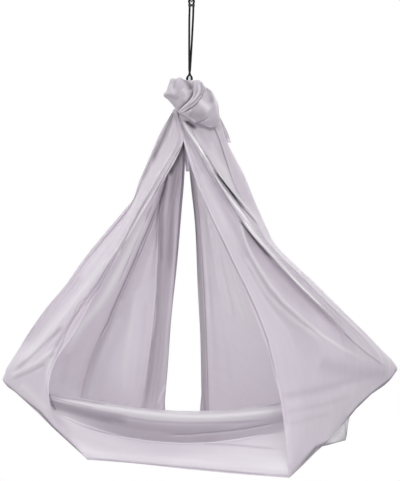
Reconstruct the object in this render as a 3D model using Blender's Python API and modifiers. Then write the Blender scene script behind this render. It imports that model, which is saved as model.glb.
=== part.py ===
"""Aerial yoga hammock: a loop of stretch cloth knotted on an oval carabiner, hung by a short black
sling from a second carabiner.

The origin is the point inside the upper carabiner's top bow where a ceiling eye carries it.
+Z is up, +X is the user's right and +Y points to the back. Sizes are in metres.
"""
import math

import bmesh
import bpy
import numpy as np
from mathutils import Matrix, Vector

MM = 0.001
GAP = 0.0003                 # air between pieces that touch
PIN_GAP = 0.00015            # air round a pin in its hole

# Oval carabiner
BAR = 0.0080                 # steel bar diameter
BOW_RADIUS = 0.0200          # bar centre line of both bows
SIDE_LENGTH = 0.0550         # straight side between the bow centres
GATE_DIAMETER = 0.0095
GATE_BORE = 0.0048
TONGUE_THICKNESS = 0.0024
TONGUE_WIDTH = 0.0070
SHOULDER_INSET = 0.0030      # bar end past its bow centre, along the gate side
HINGE_RISE = 0.0050          # hinge pin above its shoulder
LATCH_DROP = 0.0050          # latch pin below the nose shoulder
PIN_DIAMETER = 0.0025
PIN_INSET = 0.0001           # the latch pin's ends inside the gate's surface
LUG_WALL = 0.0016            # gate wall below the hinge pin
PLUNGER_LENGTH = 0.0060
SPRING_WIRE = 0.0006
SPRING_COIL = 0.0035         # coil diameter on the wire's centre line
SPRING_TURNS = 9
SPRING_SHARE = 0.72          # share of its room in the gate that the spring fills

# Sling
CORD = 0.0064                # cord diameter
SLING_LENGTH = 0.2362        # upper bar centre to lower bar centre
SLING_LEAN = -0.0063         # the lower carabiner's offset along X
STRAND_SPREAD = 0.0057       # strand centre line to the sling's axis, at the sleeve
SLEEVE_HEIGHT = 0.0060
SLEEVE_DROP = 0.0125         # sleeve centre below the upper bar centre
SLEEVE_WALL = 0.0008
# How the two strands wind round each other on the way down: share of the sling's length, strand
# to axis in cord diameters, and turn in degrees
STRAND_TWIST = [(0.20, 0.89, 2), (0.38, 0.77, 12), (0.60, 0.66, 36), (0.80, 0.57, 60),
                (0.90, 0.54, 78), (0.942, 0.54, 108), (0.960, 0.56, 150)]

# Cloth
CLOTH = 0.0024               # folded thickness of the modelled cloth
SEAM = 0.20                  # share of that thickness left at the seat's corner folds
SPAN = 1.2000                # left tip to right tip
DEPTH = 0.4500               # front hem to back hem, at the seat
DROP = 1.1160                # knot to the lowest hem corner
LEAN = 0.0350                # how far the cloth hangs back for each unit down, for its balance
NECK_GAP = 0.0058            # the lower carabiner's outside to the top of the cloth legs
TOP_MARGIN = 0.0011          # top edge of the legs below the knot's flat underside
KNOT_SPLIT = -(BOW_RADIUS + BAR / 2 + 0.0080)    # plane between the front folds and the core
SLOT_HALF = GATE_DIAMETER / 2 + 0.00125          # half width of the slot round the carabiner
SLOT_BACK = BOW_RADIUS + GATE_DIAMETER / 2 + 0.00275
STRAND_RADIUS = 0.0085       # cloth strand through the lower carabiner
CLEARANCE = 0.0010           # air below the carabiner in its slot
LEG_ROWS, SEAT_ROWS = 19, 17    # rows of each cloth grid
LINE_COLUMNS = 3             # columns from one guide line to the next
SETBACK = 0.0022             # cloth edge back from a corner fold that it shares

STEEL = ((0.62, 0.63, 0.65), 0.28, 1.0)
SPRING_STEEL = ((0.45, 0.46, 0.48), 0.35, 1.0)
BLACK_CORD = ((0.012, 0.012, 0.014), 0.75, 0.0)
BLACK_SLEEVE = ((0.02, 0.02, 0.022), 0.55, 0.0)
MAUVE_CLOTH = ((0.61, 0.56, 0.63), 0.5, 0.0)

UPPER_CENTRE = Vector((0.0, 0.0, BAR / 2 - BOW_RADIUS - SIDE_LENGTH / 2))
UPPER_BAR = UPPER_CENTRE.z - SIDE_LENGTH / 2 - BOW_RADIUS
LOWER_BAR = UPPER_BAR - SLING_LENGTH
LOWER_CENTRE = Vector((SLING_LEAN, 0.0, LOWER_BAR - BOW_RADIUS - SIDE_LENGTH / 2))
LOWER_BASKET = LOWER_CENTRE.z - SIDE_LENGTH / 2 - BOW_RADIUS
NECK = LOWER_BASKET - BAR / 2 - NECK_GAP

# The cloth is drawn at this size, in millimetres, and follows SPAN, DEPTH and DROP
DRAWN = (1.2000, 0.4500, 1.1160)
STRETCH = (SPAN / DRAWN[0], DEPTH / DRAWN[1], DROP / DRAWN[2])

# Guide lines of the cloth from the knot to the seat's corner fold: right, back, down
LEFT_LEG = {
    "front_hem": [(-32, -28, 0), (-28, -55, 88), (-112, -100, 240), (-248, -160, 490),
                  (-354, -200, 670), (-400, -230, 820), (-286, -250, 1012)],
    "front_gap": [(-36, -26, 0), (-54, -50, 86), (-138, -86, 244), (-278, -142, 480),
                  (-384, -178, 656), (-442, -202, 798), (-364, -215, 946)],
    "front_roll": [(-40, -20, 0), (-76, -45, 86), (-158, -80, 256), (-304, -125, 464),
                   (-418, -150, 632), (-492, -165, 768), (-456, -170, 872)],
    "lip": [(-46, -15, 0), (-88, -34, 84), (-168, -64, 266), (-318, -102, 466),
            (-434, -125, 626), (-510, -136, 752), (-524, -142, 834)],
    "tension": [(-50, -6, 0), (-96, -18, 84), (-176, -42, 276), (-326, -75, 466),
                (-442, -95, 620), (-524, -105, 740), (-550, -110, 802)],
    "back_roll": [(-48, 8, 0), (-90, 15, 82), (-170, 10, 278), (-310, 5, 486),
                  (-420, 0, 650), (-480, 0, 790), (-454, -10, 898)],
    "fold_a": [(-42, 18, 0), (-66, 40, 110), (-102, 62, 282), (-186, 78, 456),
               (-248, 88, 638), (-324, 88, 782), (-390, 60, 970)],
    "fold_b": [(-33, 25, 0), (-42, 40, 126), (-92, 40, 300), (-98, 45, 480),
               (-106, 50, 650), (-136, 66, 806), (-290, 128, 1026)],
    "back_hem": [(-26, 32, 0), (-18, 75, 138), (-24, 105, 278), (-40, 130, 456),
                 (-60, 157, 676), (-82, 176, 896), (-150, 186, 1034)],
}
RIGHT_LEG = {
    "front_hem": [(-22, -28, 0), (-16, -46, 90), (46, -106, 278), (146, -160, 504),
                  (220, -200, 670), (266, -230, 848), (286, -250, 1062)],
    "front_gap": [(-10, -27, 0), (6, -34, 90), (128, -88, 286), (214, -126, 510),
                  (324, -150, 650), (412, -175, 770), (424, -205, 946)],
    "front_roll": [(4, -26, 0), (26, -42, 90), (146, -114, 284), (266, -158, 454),
                   (412, -166, 594), (512, -168, 692), (520, -170, 846)],
    "lip": [(50, -18, 0), (76, -33, 88), (180, -78, 282), (310, -112, 470),
            (454, -126, 604), (558, -136, 704), (570, -142, 806)],
    "tension": [(86, -6, 0), (114, -18, 88), (206, -42, 282), (342, -75, 486),
                (478, -95, 616), (580, -105, 720), (614, -110, 772)],
    "back_roll": [(82, 8, 0), (106, 15, 84), (192, 10, 280), (314, 5, 486),
                  (428, 0, 626), (514, 0, 748), (500, -10, 890)],
    "fold_a": [(54, 20, 0), (72, 45, 110), (120, 60, 282), (188, 75, 480),
               (266, 85, 668), (344, 90, 824), (484, 60, 1008)],
    "fold_b": [(16, 27, 0), (32, 55, 124), (50, 85, 300), (82, 105, 512),
               (114, 125, 702), (150, 136, 862), (304, 122, 1040)],
    "back_hem": [(-10, 32, 0), (-4, 75, 138), (14, 105, 308), (24, 130, 536),
                 (32, 155, 696), (40, 176, 900), (130, 186, 1034)],
}
# The same lines across the seat: left, middle and right
SEAT = {
    "front_hem": [(-195, -250, 1018), (20, -250, 1040), (214, -250, 1058)],
    "front_gap": [(-226, -218, 982), (20, -216, 1004), (232, -218, 1012)],
    "front_roll": [(-232, -150, 954), (20, -148, 981), (250, -150, 951)],
    "lip": [(-234, -144, 896), (20, -142, 914), (240, -144, 894)],
    "tension": [(-236, -110, 878), (20, -110, 896), (240, -110, 876)],
    "back_roll": [(-240, -30, 934), (20, -30, 945), (245, -30, 932)],
    "fold_a": [(-230, 88, 1004), (15, 90, 1012), (260, 86, 1014)],
    "fold_b": [(-160, 148, 1038), (0, 150, 1042), (156, 146, 1042)],
    "back_hem": [(-90, 192, 1044), (-10, 196, 1048), (72, 192, 1044)],
}
LINES = list(SEAT)

# Each fold of the knot: depth of its outline, bulge to the front and to the back, and its soft
# ridges as (direction in degrees, ridges across, height); lengths in millimetres
KNOT_FOLDS = {
    "knot_wrap": (-50, -42, 30, [(20, 1.6, 1.2)]),
    "knot_lobe": (-52, -34, 34, [(70, 1.3, 2.0)]),
    "knot_bulge": (-48, -40, 32, [(60, 1.7, 2.2)]),
    "knot_core": (14, -70, 50, [(75, 2.0, 2.0)]),
}
# Each free end: its middle line as (right, back, up) from the top of the legs, and its widths
TAILS = {
    "cloth_side_tail": ([(72, 44, 0), (88, 46, -30), (104, 44, -58), (116, 42, -84)],
                        [30, 34, 30, 18]),
    "cloth_back_tail": ([(-12, 50, 0), (-12, 70, -60), (-11, 92, -130), (-9, 104, -176)],
                        [26, 30, 24, 14]),
}
TAIL_PLEAT = 4               # depth of a free end's pleats, in millimetres

# Knot outlines seen from the front: right and up, in millimetres from the top of the legs
LOBE_OUTLINE = [(-51, 103), (-40, 101), (-27, 106), (-16, 98), (8, 98), (22, 92), (24, 74),
                (14, 46), (-8, 22), (-26, 8), (-42, 18), (-62, 39), (-77, 54), (-67, 70), (-62, 86)]
WRAP_OUTLINE = [(16, 97), (28, 98), (38, 90), (43, 77), (41, 58), (31, 39), (16, 21), (-3, 10),
                (-22, 1), (-33, 3), (-28, 9), (-9, 27), (7, 48), (16, 69), (20, 87)]
BULGE_OUTLINE = [(36, 88), (56, 72), (70, 62), (80, 45), (88, 26), (91, 0), (93, -26), (74, -43),
                 (56, -42), (35, -29), (15, -34), (-9, -14), (-26, -3), (-4, 14), (20, 40), (30, 70)]
CORE_OUTLINE = [(-46, 82), (-20, 90), (10, 88), (40, 76), (66, 60), (82, 40), (90, 16), (92, -14),
                (20, -22), (-52, -14), (-48, 8), (-50, 28), (-62, 50), (-60, 68)]


def clear_scene():
    """Remove the objects that the scene starts with."""
    for item in list(bpy.data.objects):
        bpy.data.objects.remove(item, do_unlink=True)


def collection(name):
    """Return a collection of this name, linked to the scene."""
    group = bpy.data.collections.new(name)
    bpy.context.scene.collection.children.link(group)
    return group


def material(name, look):
    """Return a Principled material."""
    colour, roughness, metallic = look
    mat = bpy.data.materials.new(name)
    mat.use_nodes = True
    shader = mat.node_tree.nodes["Principled BSDF"]
    shader.inputs["Base Color"].default_value = (*colour, 1.0)
    shader.inputs["Roughness"].default_value = roughness
    shader.inputs["Metallic"].default_value = metallic
    mat.diffuse_color = (*colour, 1.0)
    return mat


def own(obj, look, parent=None):
    """Give an object its material and its place in the part."""
    obj.data.materials.clear()
    obj.data.materials.append(material(obj.name + "_finish", look))
    PART.objects.link(obj)
    obj.parent = parent
    return obj


def new_object(name, bm):
    """Make an object from a bmesh and free the bmesh."""
    bmesh.ops.recalc_face_normals(bm, faces=bm.faces)
    mesh = bpy.data.meshes.new(name)
    bm.to_mesh(mesh)
    bm.free()
    return bpy.data.objects.new(name, mesh)


def smooth(obj, angle=40.0):
    """Shade round surfaces smooth and keep the sharp edges."""
    obj.data.shade_smooth()
    obj.data.set_sharp_from_angle(angle=math.radians(angle))
    return obj


def empty(name, place):
    """Return an empty that carries moving pieces, on their joint's axis."""
    pivot = bpy.data.objects.new(name, None)
    pivot.location = place
    PART.objects.link(pivot)
    return pivot


def cylinder(name, radius, length, axis="Z", place=(0, 0, 0), sides=24):
    """Return a cylinder centred on a place, along one axis."""
    bm = bmesh.new()
    bmesh.ops.create_cone(bm, cap_ends=True, segments=sides, radius1=radius, radius2=radius,
                          depth=length)
    if axis != "Z":
        turn = Matrix.Rotation(math.pi / 2, 3, "Y" if axis == "X" else "X")
        bmesh.ops.rotate(bm, verts=bm.verts, cent=(0, 0, 0), matrix=turn)
    bmesh.ops.translate(bm, verts=bm.verts, vec=place)
    return new_object(name, bm)


def box(name, low, high):
    """Return a box between two corners."""
    bm = bmesh.new()
    bmesh.ops.create_cube(bm, size=1.0)
    low, high = Vector(low), Vector(high)
    bmesh.ops.scale(bm, verts=bm.verts, vec=high - low)
    bmesh.ops.translate(bm, verts=bm.verts, vec=(low + high) / 2)
    return new_object(name, bm)


def combine(target, tool, operation):
    """Join a tool to a solid, or cut it, with a Boolean that stays on the solid."""
    CUTTERS.objects.link(tool)
    tool.hide_render = True
    tool.display_type = "WIRE"
    tool.parent = target
    step = target.modifiers.new(operation.lower() + "_" + tool.name, "BOOLEAN")
    step.operation = operation
    step.object = tool
    step.solver = "EXACT"


def tube(name, points, radius, resolution=2, cyclic=False):
    """Return a closed round tube along a list of points."""
    curve = bpy.data.curves.new(name, "CURVE")
    curve.dimensions = "3D"
    curve.bevel_depth = radius
    curve.bevel_resolution = resolution
    curve.use_fill_caps = True
    line = curve.splines.new("POLY")
    line.points.add(len(points) - 1)
    for knot, place in zip(line.points, points):
        knot.co = (*place, 1.0)
    line.use_cyclic_u = cyclic
    return bpy.data.objects.new(name, curve)


def as_mesh(obj):
    """Turn a curve object into a mesh object with welded caps."""
    CUTTERS.objects.link(obj)
    bpy.context.view_layer.update()
    evaluated = obj.evaluated_get(bpy.context.evaluated_depsgraph_get())
    mesh = bpy.data.meshes.new_from_object(evaluated)
    bm = bmesh.new()
    bm.from_mesh(mesh)
    bmesh.ops.remove_doubles(bm, verts=bm.verts, dist=0.00001)
    bmesh.ops.recalc_face_normals(bm, faces=bm.faces)
    bm.to_mesh(mesh)
    bm.free()
    name = obj.name
    bpy.data.objects.remove(obj, do_unlink=True)
    return bpy.data.objects.new(name, mesh)


def spline(points, count, closed=False):
    """Return points spread along a smooth curve through the given ones."""
    knots = np.asarray(points, dtype=float)
    total = len(knots) if closed else len(knots) - 1
    result = []
    for step in np.linspace(0.0, total, count, endpoint=not closed):
        index = min(int(step), total - 1)
        t = step - index
        if closed:
            a, b, c, d = (knots[(index + k) % len(knots)] for k in (-1, 0, 1, 2))
        else:
            b, c = knots[index], knots[index + 1]
            a = knots[index - 1] if index else 2 * b - c
            d = knots[index + 2] if index + 2 < len(knots) else 2 * c - b
        result.append(0.5 * (2 * b + (c - a) * t + (2 * a - 5 * b + 4 * c - d) * t * t
                             + (3 * b - a - 3 * c + d) * t ** 3))
    return np.array(result)


def hinge_height():
    """Height of the gate's hinge pin above the carabiner's centre."""
    return -SIDE_LENGTH / 2 + SHOULDER_INSET + HINGE_RISE


def latch_height():
    """Height of the gate's latch pin above the carabiner's centre."""
    return SIDE_LENGTH / 2 - SHOULDER_INSET - LATCH_DROP


def carabiner_route():
    """Bar centre line from the nose shoulder over the top bow, down and up to the hinge shoulder."""
    half = SIDE_LENGTH / 2
    route = [(0, BOW_RADIUS, half - SHOULDER_INSET)]
    for step in range(13):
        angle = math.pi * step / 12
        route.append((0, BOW_RADIUS * math.cos(angle), half + BOW_RADIUS * math.sin(angle)))
    for step in range(13):
        angle = math.pi * step / 12
        route.append((0, -BOW_RADIUS * math.cos(angle), -half - BOW_RADIUS * math.sin(angle)))
    route.append((0, BOW_RADIUS, -half + SHOULDER_INSET))
    return route


def carabiner_body(name, centre):
    """The bent bar with its hinge tongue below the gate and its hooked nose above it."""
    body = as_mesh(tube(name, carabiner_route(), BAR / 2, 2))
    body.location = centre
    half = SIDE_LENGTH / 2
    thick, wide = TONGUE_THICKNESS / 2, TONGUE_WIDTH / 2
    hinge, latch = hinge_height(), latch_height()
    combine(body, box(name + "_tongue", (-thick, BOW_RADIUS - wide, -half),
                      (thick, BOW_RADIUS + wide, hinge)), "UNION")
    combine(body, cylinder(name + "_tongue_end", wide, 2 * thick, "X", (0, BOW_RADIUS, hinge)),
            "UNION")
    combine(body, box(name + "_nose", (-thick, BOW_RADIUS - wide, latch - wide),
                      (thick, BOW_RADIUS + wide, half)), "UNION")
    hole = PIN_DIAMETER / 2 + PIN_GAP
    combine(body, cylinder(name + "_hinge_hole", hole, 4 * thick, "X", (0, BOW_RADIUS, hinge)),
            "DIFFERENCE")
    notch = PIN_DIAMETER / 2 + GAP
    combine(body, cylinder(name + "_latch_seat", notch, 4 * thick, "X", (0, BOW_RADIUS, latch)),
            "DIFFERENCE")
    combine(body, box(name + "_latch_mouth", (-2 * thick, BOW_RADIUS - 2 * wide, latch - notch),
                      (2 * thick, BOW_RADIUS, latch + notch)), "DIFFERENCE")
    return own(smooth(body), STEEL)


def carabiner_gate(name, pivot):
    """The slotted tube that closes the carabiner, in its hinge's frame."""
    top = SIDE_LENGTH / 2 - SHOULDER_INSET - hinge_height() - 2 * GAP
    bottom = -(PIN_DIAMETER / 2 + LUG_WALL)
    latch = latch_height() - hinge_height()
    gate = cylinder(name, GATE_DIAMETER / 2, top - bottom, "Z", (0, 0, (top + bottom) / 2))
    slot = TONGUE_THICKNESS / 2 + GAP
    wall = GATE_DIAMETER
    clear = TONGUE_WIDTH / 2 + GAP
    combine(gate, box(name + "_hinge_slot", (-slot, -wall, bottom - 0.001),
                      (slot, wall, clear)), "DIFFERENCE")
    combine(gate, box(name + "_nose_slot", (-slot, -wall, latch - clear),
                      (slot, wall, top + 0.001)), "DIFFERENCE")
    bore_end = clear + GAP + PLUNGER_LENGTH + spring_length() + GAP
    combine(gate, cylinder(name + "_bore", GATE_BORE / 2, bore_end, "Z", (0, 0, bore_end / 2)),
            "DIFFERENCE")
    hole = PIN_DIAMETER / 2 + PIN_GAP
    for label, height in (("_hinge_hole", 0.0), ("_latch_hole", latch)):
        combine(gate, cylinder(name + label, hole, 2 * wall, "X", (0, 0, height)), "DIFFERENCE")
    return own(smooth(gate), STEEL, pivot)


def spring_length():
    """Length of the return spring inside the gate."""
    room = latch_height() - hinge_height() - TONGUE_WIDTH - PLUNGER_LENGTH
    return SPRING_SHARE * room


def return_spring(name, pivot, start):
    """The helical spring that pushes the plunger against the tongue."""
    length = spring_length() - SPRING_WIRE
    steps_per_turn = 9
    steps = SPRING_TURNS * steps_per_turn
    points = []
    for step in range(steps + 1):
        angle = 2 * math.pi * SPRING_TURNS * step / steps
        points.append((SPRING_COIL / 2 * math.cos(angle), SPRING_COIL / 2 * math.sin(angle),
                       start + SPRING_WIRE / 2 + length * step / steps))
    spring = tube(name, points, SPRING_WIRE / 2, 1)
    return own(spring, SPRING_STEEL, pivot)


def carabiner(side, centre):
    """One carabiner: bar, gate, hinge rivet, latch pin, plunger and return spring."""
    carabiner_body(side + "_carabiner_body", centre)
    hinge = centre + Vector((0.0, BOW_RADIUS, hinge_height()))
    pivot = empty(side + "_gate_hinge", hinge)
    carabiner_gate(side + "_carabiner_gate", pivot)
    rivet = cylinder(side + "_hinge_rivet", PIN_DIAMETER / 2, GATE_DIAMETER, "X")
    rivet.location = hinge
    own(smooth(rivet), STEEL)
    latch = latch_height() - hinge_height()
    pin = cylinder(side + "_latch_pin", PIN_DIAMETER / 2, GATE_DIAMETER - 2 * PIN_INSET, "X",
                   (0, 0, latch))
    own(smooth(pin), STEEL, pivot)
    seat = TONGUE_WIDTH / 2 + GAP
    plunger = cylinder(side + "_plunger", GATE_BORE / 2 - GAP, PLUNGER_LENGTH, "Z",
                       (0, 0, seat + PLUNGER_LENGTH / 2), 16)
    own(smooth(plunger), STEEL, pivot)
    return_spring(side + "_return_spring", pivot, seat + PLUNGER_LENGTH + GAP)


def sling_route():
    """Centre line of the sling: from its joint in the sleeve round both bars and back.

    The strands swap sides on the way down, so that the lower bar holds them the other way round.
    """
    bend = BAR / 2 + CORD / 2 + GAP
    sleeve = UPPER_BAR - SLEEVE_DROP
    top, end = SLEEVE_DROP - SLEEVE_HEIGHT / 2 - GAP, SLEEVE_DROP + SLEEVE_HEIGHT

    def strand(share, reach, turn, side):
        drop = SLING_LENGTH * share
        lean = SLING_LEAN * max(0.0, drop - end) / (SLING_LENGTH - end)
        angle = math.radians(turn)
        return (lean + side * reach * CORD * math.cos(angle),
                side * reach * CORD * math.sin(angle), UPPER_BAR - drop)

    route = [(-STRAND_SPREAD, 0, sleeve + GAP), (-STRAND_SPREAD, 0, UPPER_BAR - top)]
    for step in range(5):
        angle = math.pi * (1 - step / 4)
        route.append((bend * math.cos(angle), 0, UPPER_BAR + bend * math.sin(angle)))
    route += [(STRAND_SPREAD, 0, UPPER_BAR - drop) for drop in (top, SLEEVE_DROP, end)]
    route += [strand(*station, 1) for station in STRAND_TWIST]
    for step in range(7):
        angle = math.pi * (5 + 8 * step / 6) / 6
        route.append((SLING_LEAN + bend * math.cos(angle), 0, LOWER_BAR + bend * math.sin(angle)))
    route += [strand(*station, -1) for station in reversed(STRAND_TWIST)]
    route += [(-STRAND_SPREAD, 0, UPPER_BAR - end), (-STRAND_SPREAD, 0, sleeve - GAP)]
    return route


def sling():
    """The cord loop and the sleeve that holds its strands together under the upper bar."""
    points = spline(sling_route(), 112)
    cord = tube("sling_cord", points, CORD / 2, 2)
    own(cord, BLACK_CORD)
    bore, sides = CORD / 2 + 2 * GAP, 32
    sleeve = cylinder("sling_sleeve", bore + SLEEVE_WALL, SLEEVE_HEIGHT, sides=sides)
    sleeve.data.transform(Matrix.Rotation(math.pi / sides, 4, "Z"))
    for corner in sleeve.data.vertices:
        corner.co.x += math.copysign(STRAND_SPREAD, corner.co.x)
    sleeve.location = (0, 0, UPPER_BAR - SLEEVE_DROP)
    for sign in (-1, 1):
        hole = cylinder("sleeve_hole", bore, 2 * SLEEVE_HEIGHT, "Z",
                        (sign * STRAND_SPREAD, 0, 0), 16)
        combine(sleeve, hole, "DIFFERENCE")
    own(smooth(sleeve), BLACK_SLEEVE)


def stretched(point):
    """Place a drawn cloth point in the part, at the cloth's set span, depth and drop."""
    right, back, down = point
    fall = down * STRETCH[2] * MM
    return Vector((LOWER_CENTRE.x + right * STRETCH[0] * MM,
                   back * STRETCH[1] * MM + LEAN * fall, NECK - fall))


def sheet_grid(lines, rows, seams, rim):
    """Spread guide lines into a grid of points: rows along the lines, columns across them."""
    along = [spline(line, rows) for line in lines]
    columns = (len(lines) - 1) * LINE_COLUMNS + 1
    grid = []
    for row in range(rows):
        across = spline([line[row] for line in along], columns)
        grid.append([stretched(point) for point in across])
    if rim:
        for place in grid[0]:
            place.z = NECK - TOP_MARGIN
    for row in seams:
        inner = 1 if row == 0 else -2
        for place, other in zip(grid[row], grid[inner]):
            away = (other - place).normalized()
            place += away * SETBACK
    return grid


def cloth_sheet(name, grid, thin_rows):
    """Make a thin closed shell from a grid of points, thinner along its corner folds."""
    bm = bmesh.new()
    verts = [[bm.verts.new(place) for place in row] for row in grid]
    for upper, lower in zip(verts, verts[1:]):
        for a, b, c, d in zip(upper, upper[1:], lower[1:], lower):
            bm.faces.new((a, b, c, d))
    cloth = new_object(name, bm)
    full = cloth.vertex_groups.new(name="full_thickness")
    columns = len(grid[0])
    thin = {row % len(grid) for row in thin_rows}
    for row in range(len(grid)):
        weight = SEAM if row in thin else 1.0
        full.add([row * columns + column for column in range(columns)], weight, "REPLACE")
    shell = cloth.modifiers.new("cloth_thickness", "SOLIDIFY")
    shell.thickness = CLOTH
    shell.offset = 0.0
    shell.vertex_group = full.name
    shell.thickness_vertex_group = 0.0
    return own(smooth(cloth, 60), MAUVE_CLOTH)


def legs_and_seat():
    """The spread cloth: two legs down from the knot and the seat between their corner folds."""
    left = [LEFT_LEG[line] for line in LINES]
    right = [RIGHT_LEG[line] for line in LINES]
    seat = [[LEFT_LEG[line][-1], *SEAT[line], RIGHT_LEG[line][-1]] for line in LINES]
    cloth_sheet("cloth_left_leg", sheet_grid(left, LEG_ROWS, (-1,), True), (-1,))
    cloth_sheet("cloth_right_leg", sheet_grid(right, LEG_ROWS, (-1,), True), (-1,))
    cloth_sheet("cloth_seat", sheet_grid(seat, SEAT_ROWS, (0, -1), False), (0, -1))


def knot_point(right, up, back):
    """Place a drawn knot point in the part."""
    return Vector((LOWER_CENTRE.x + right * MM, back * MM, NECK + up * MM))


def fold_bulge(name, outline, rings=6):
    """A closed cloth bulge from its outline: domed to the front and back, with soft ridges."""
    middle, front, back, folds = KNOT_FOLDS[name]
    edge = spline(outline, 40, closed=True)
    centre = edge.mean(axis=0)
    shares = [math.sin(math.pi / 2 * step / rings) for step in range(1, rings + 1)]
    extent = np.abs(edge - centre).max()
    bm = bmesh.new()

    def place(flat, share, bulge):
        depth = math.sqrt(max(0.0, 1.0 - share * share)) * bulge
        ridge = 0.0
        for direction, count, height in folds:
            turn = math.radians(direction)
            offset = (flat - centre) @ np.array((math.cos(turn), math.sin(turn)))
            ridge += height * math.cos(math.pi * count * offset / extent)
        depth += math.copysign(ridge, bulge) * (1.0 - share ** 4)
        return knot_point(flat[0], flat[1], middle + depth)

    def ring(share, bulge):
        return [bm.verts.new(place(centre + (point - centre) * share, share, bulge))
                for point in edge]

    rim = ring(1.0, front)
    for bulge in (front, back):
        previous = rim
        for share in reversed(shares[:-1]):
            current = ring(share, bulge)
            for k in range(len(edge)):
                n = (k + 1) % len(edge)
                bm.faces.new((previous[k], previous[n], current[n], current[k]))
            previous = current
        pole = bm.verts.new(place(centre, 0.0, bulge))
        for k in range(len(edge)):
            bm.faces.new((previous[k], previous[(k + 1) % len(edge)], pole))
    return new_object(name, bm)


def grown(solid, name, distance):
    """Return a copy of a solid with its surface moved out by a distance."""
    bm = bmesh.new()
    bm.from_mesh(solid.data)
    bm.normal_update()
    for corner, normal in [(vert, vert.normal.copy()) for vert in bm.verts]:
        corner.co += normal * distance
    return new_object(name, bm)


def trim(solid, place, normal):
    """Cut a solid flat at a plane and keep the side that the normal points away from."""
    bm = bmesh.new()
    bm.from_mesh(solid.data)
    bmesh.ops.bisect_plane(bm, geom=bm.verts[:] + bm.edges[:] + bm.faces[:], dist=0.000001,
                           plane_co=place, plane_no=normal, clear_outer=True)
    bmesh.ops.holes_fill(bm, edges=[edge for edge in bm.edges if edge.is_boundary])
    bmesh.ops.recalc_face_normals(bm, faces=bm.faces)
    bm.to_mesh(solid.data)
    bm.free()
    return solid


def knot():
    """The knot: a lobe, a wrap and a bulge in front of the core that grips the carabiner."""
    wrap = fold_bulge("knot_wrap", WRAP_OUTLINE)
    lobe = fold_bulge("knot_lobe", LOBE_OUTLINE)
    bulge = fold_bulge("knot_bulge", BULGE_OUTLINE)
    beds = [grown(wrap, fold.name + "_wrap_bed", 2 * GAP) for fold in (lobe, bulge)]
    for fold in (wrap, lobe, bulge):
        trim(fold, (0, KNOT_SPLIT - GAP / 2, 0), (0, 1, 0))
    for fold, bed in zip((lobe, bulge), beds):
        combine(fold, bed, "DIFFERENCE")
    for fold in (wrap, lobe, bulge):
        own(smooth(fold), MAUVE_CLOTH)
    core = fold_bulge("knot_core", CORE_OUTLINE)
    trim(core, (0, KNOT_SPLIT + GAP / 2, 0), (0, -1, 0))
    trim(core, (0, 0, NECK), (0, 0, -1))
    low = (LOWER_CENTRE.x - SLOT_HALF, -2 * BOW_RADIUS, LOWER_BASKET - BAR / 2 - CLEARANCE)
    high = (LOWER_CENTRE.x + SLOT_HALF, SLOT_BACK, LOWER_BAR + 2 * BOW_RADIUS)
    slot = box("carabiner_slot", low, high)
    rest = LOWER_BASKET + BAR / 2 + GAP + STRAND_RADIUS
    strand = cylinder("carabiner_strand", STRAND_RADIUS, 4 * SLOT_HALF, "X",
                      (LOWER_CENTRE.x, 0, rest))
    combine(slot, strand, "DIFFERENCE")
    combine(core, slot, "DIFFERENCE")
    own(smooth(core), MAUVE_CLOTH)


def tail(name, rows=9, columns=9):
    """A free end of the cloth that leaves the knot: a narrow pleated strip along its route."""
    route, widths = TAILS[name]
    spine = spline(route, rows)
    spread = spline([(wide, 0, 0) for wide in widths], rows)[:, 0]
    grid = []
    for centre, wide in zip(spine, spread):
        row = []
        for column in range(columns):
            across = column / (columns - 1) - 0.5
            ripple = TAIL_PLEAT * math.cos(3 * math.pi * across)
            row.append(knot_point(centre[0] + wide * across, centre[2], centre[1] + ripple))
        grid.append(row)
    for place in grid[0]:
        place.z = NECK - TOP_MARGIN
    cloth_sheet(name, grid, ())


clear_scene()
PART = collection("aerial_yoga_hammock")
CUTTERS = collection("cutters")
carabiner("upper", UPPER_CENTRE)
carabiner("lower", LOWER_CENTRE)
sling()
legs_and_seat()
knot()
for free_end in TAILS:
    tail(free_end)
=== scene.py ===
import math

import bmesh
import bpy
import numpy as np
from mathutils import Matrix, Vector


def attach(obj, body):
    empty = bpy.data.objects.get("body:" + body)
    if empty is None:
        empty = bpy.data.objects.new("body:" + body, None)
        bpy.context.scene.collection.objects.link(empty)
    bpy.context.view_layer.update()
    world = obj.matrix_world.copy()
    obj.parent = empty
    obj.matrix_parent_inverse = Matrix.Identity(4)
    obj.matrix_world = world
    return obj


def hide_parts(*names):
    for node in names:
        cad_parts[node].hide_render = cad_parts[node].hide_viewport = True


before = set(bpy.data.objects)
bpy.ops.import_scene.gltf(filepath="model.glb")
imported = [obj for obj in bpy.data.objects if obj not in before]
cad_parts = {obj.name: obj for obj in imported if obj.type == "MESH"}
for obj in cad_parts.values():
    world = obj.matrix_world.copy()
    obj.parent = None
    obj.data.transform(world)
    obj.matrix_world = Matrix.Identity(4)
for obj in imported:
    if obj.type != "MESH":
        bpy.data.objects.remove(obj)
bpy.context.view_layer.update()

MM = 0.001
# The camera's 400 x 481 frame, and where it stands in front of the hammock
PIXEL = 0.00305              # one picture element at the hammock's hanging plane
MIDDLE_ACROSS, MIDDLE_DOWN = 200.0, 240.5
VIEW_DISTANCE, VIEW_X, VIEW_Z = 3.6, 0.0259, -0.8209
SENSOR, LENS = 36.0, 88.34   # in millimetres
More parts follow.
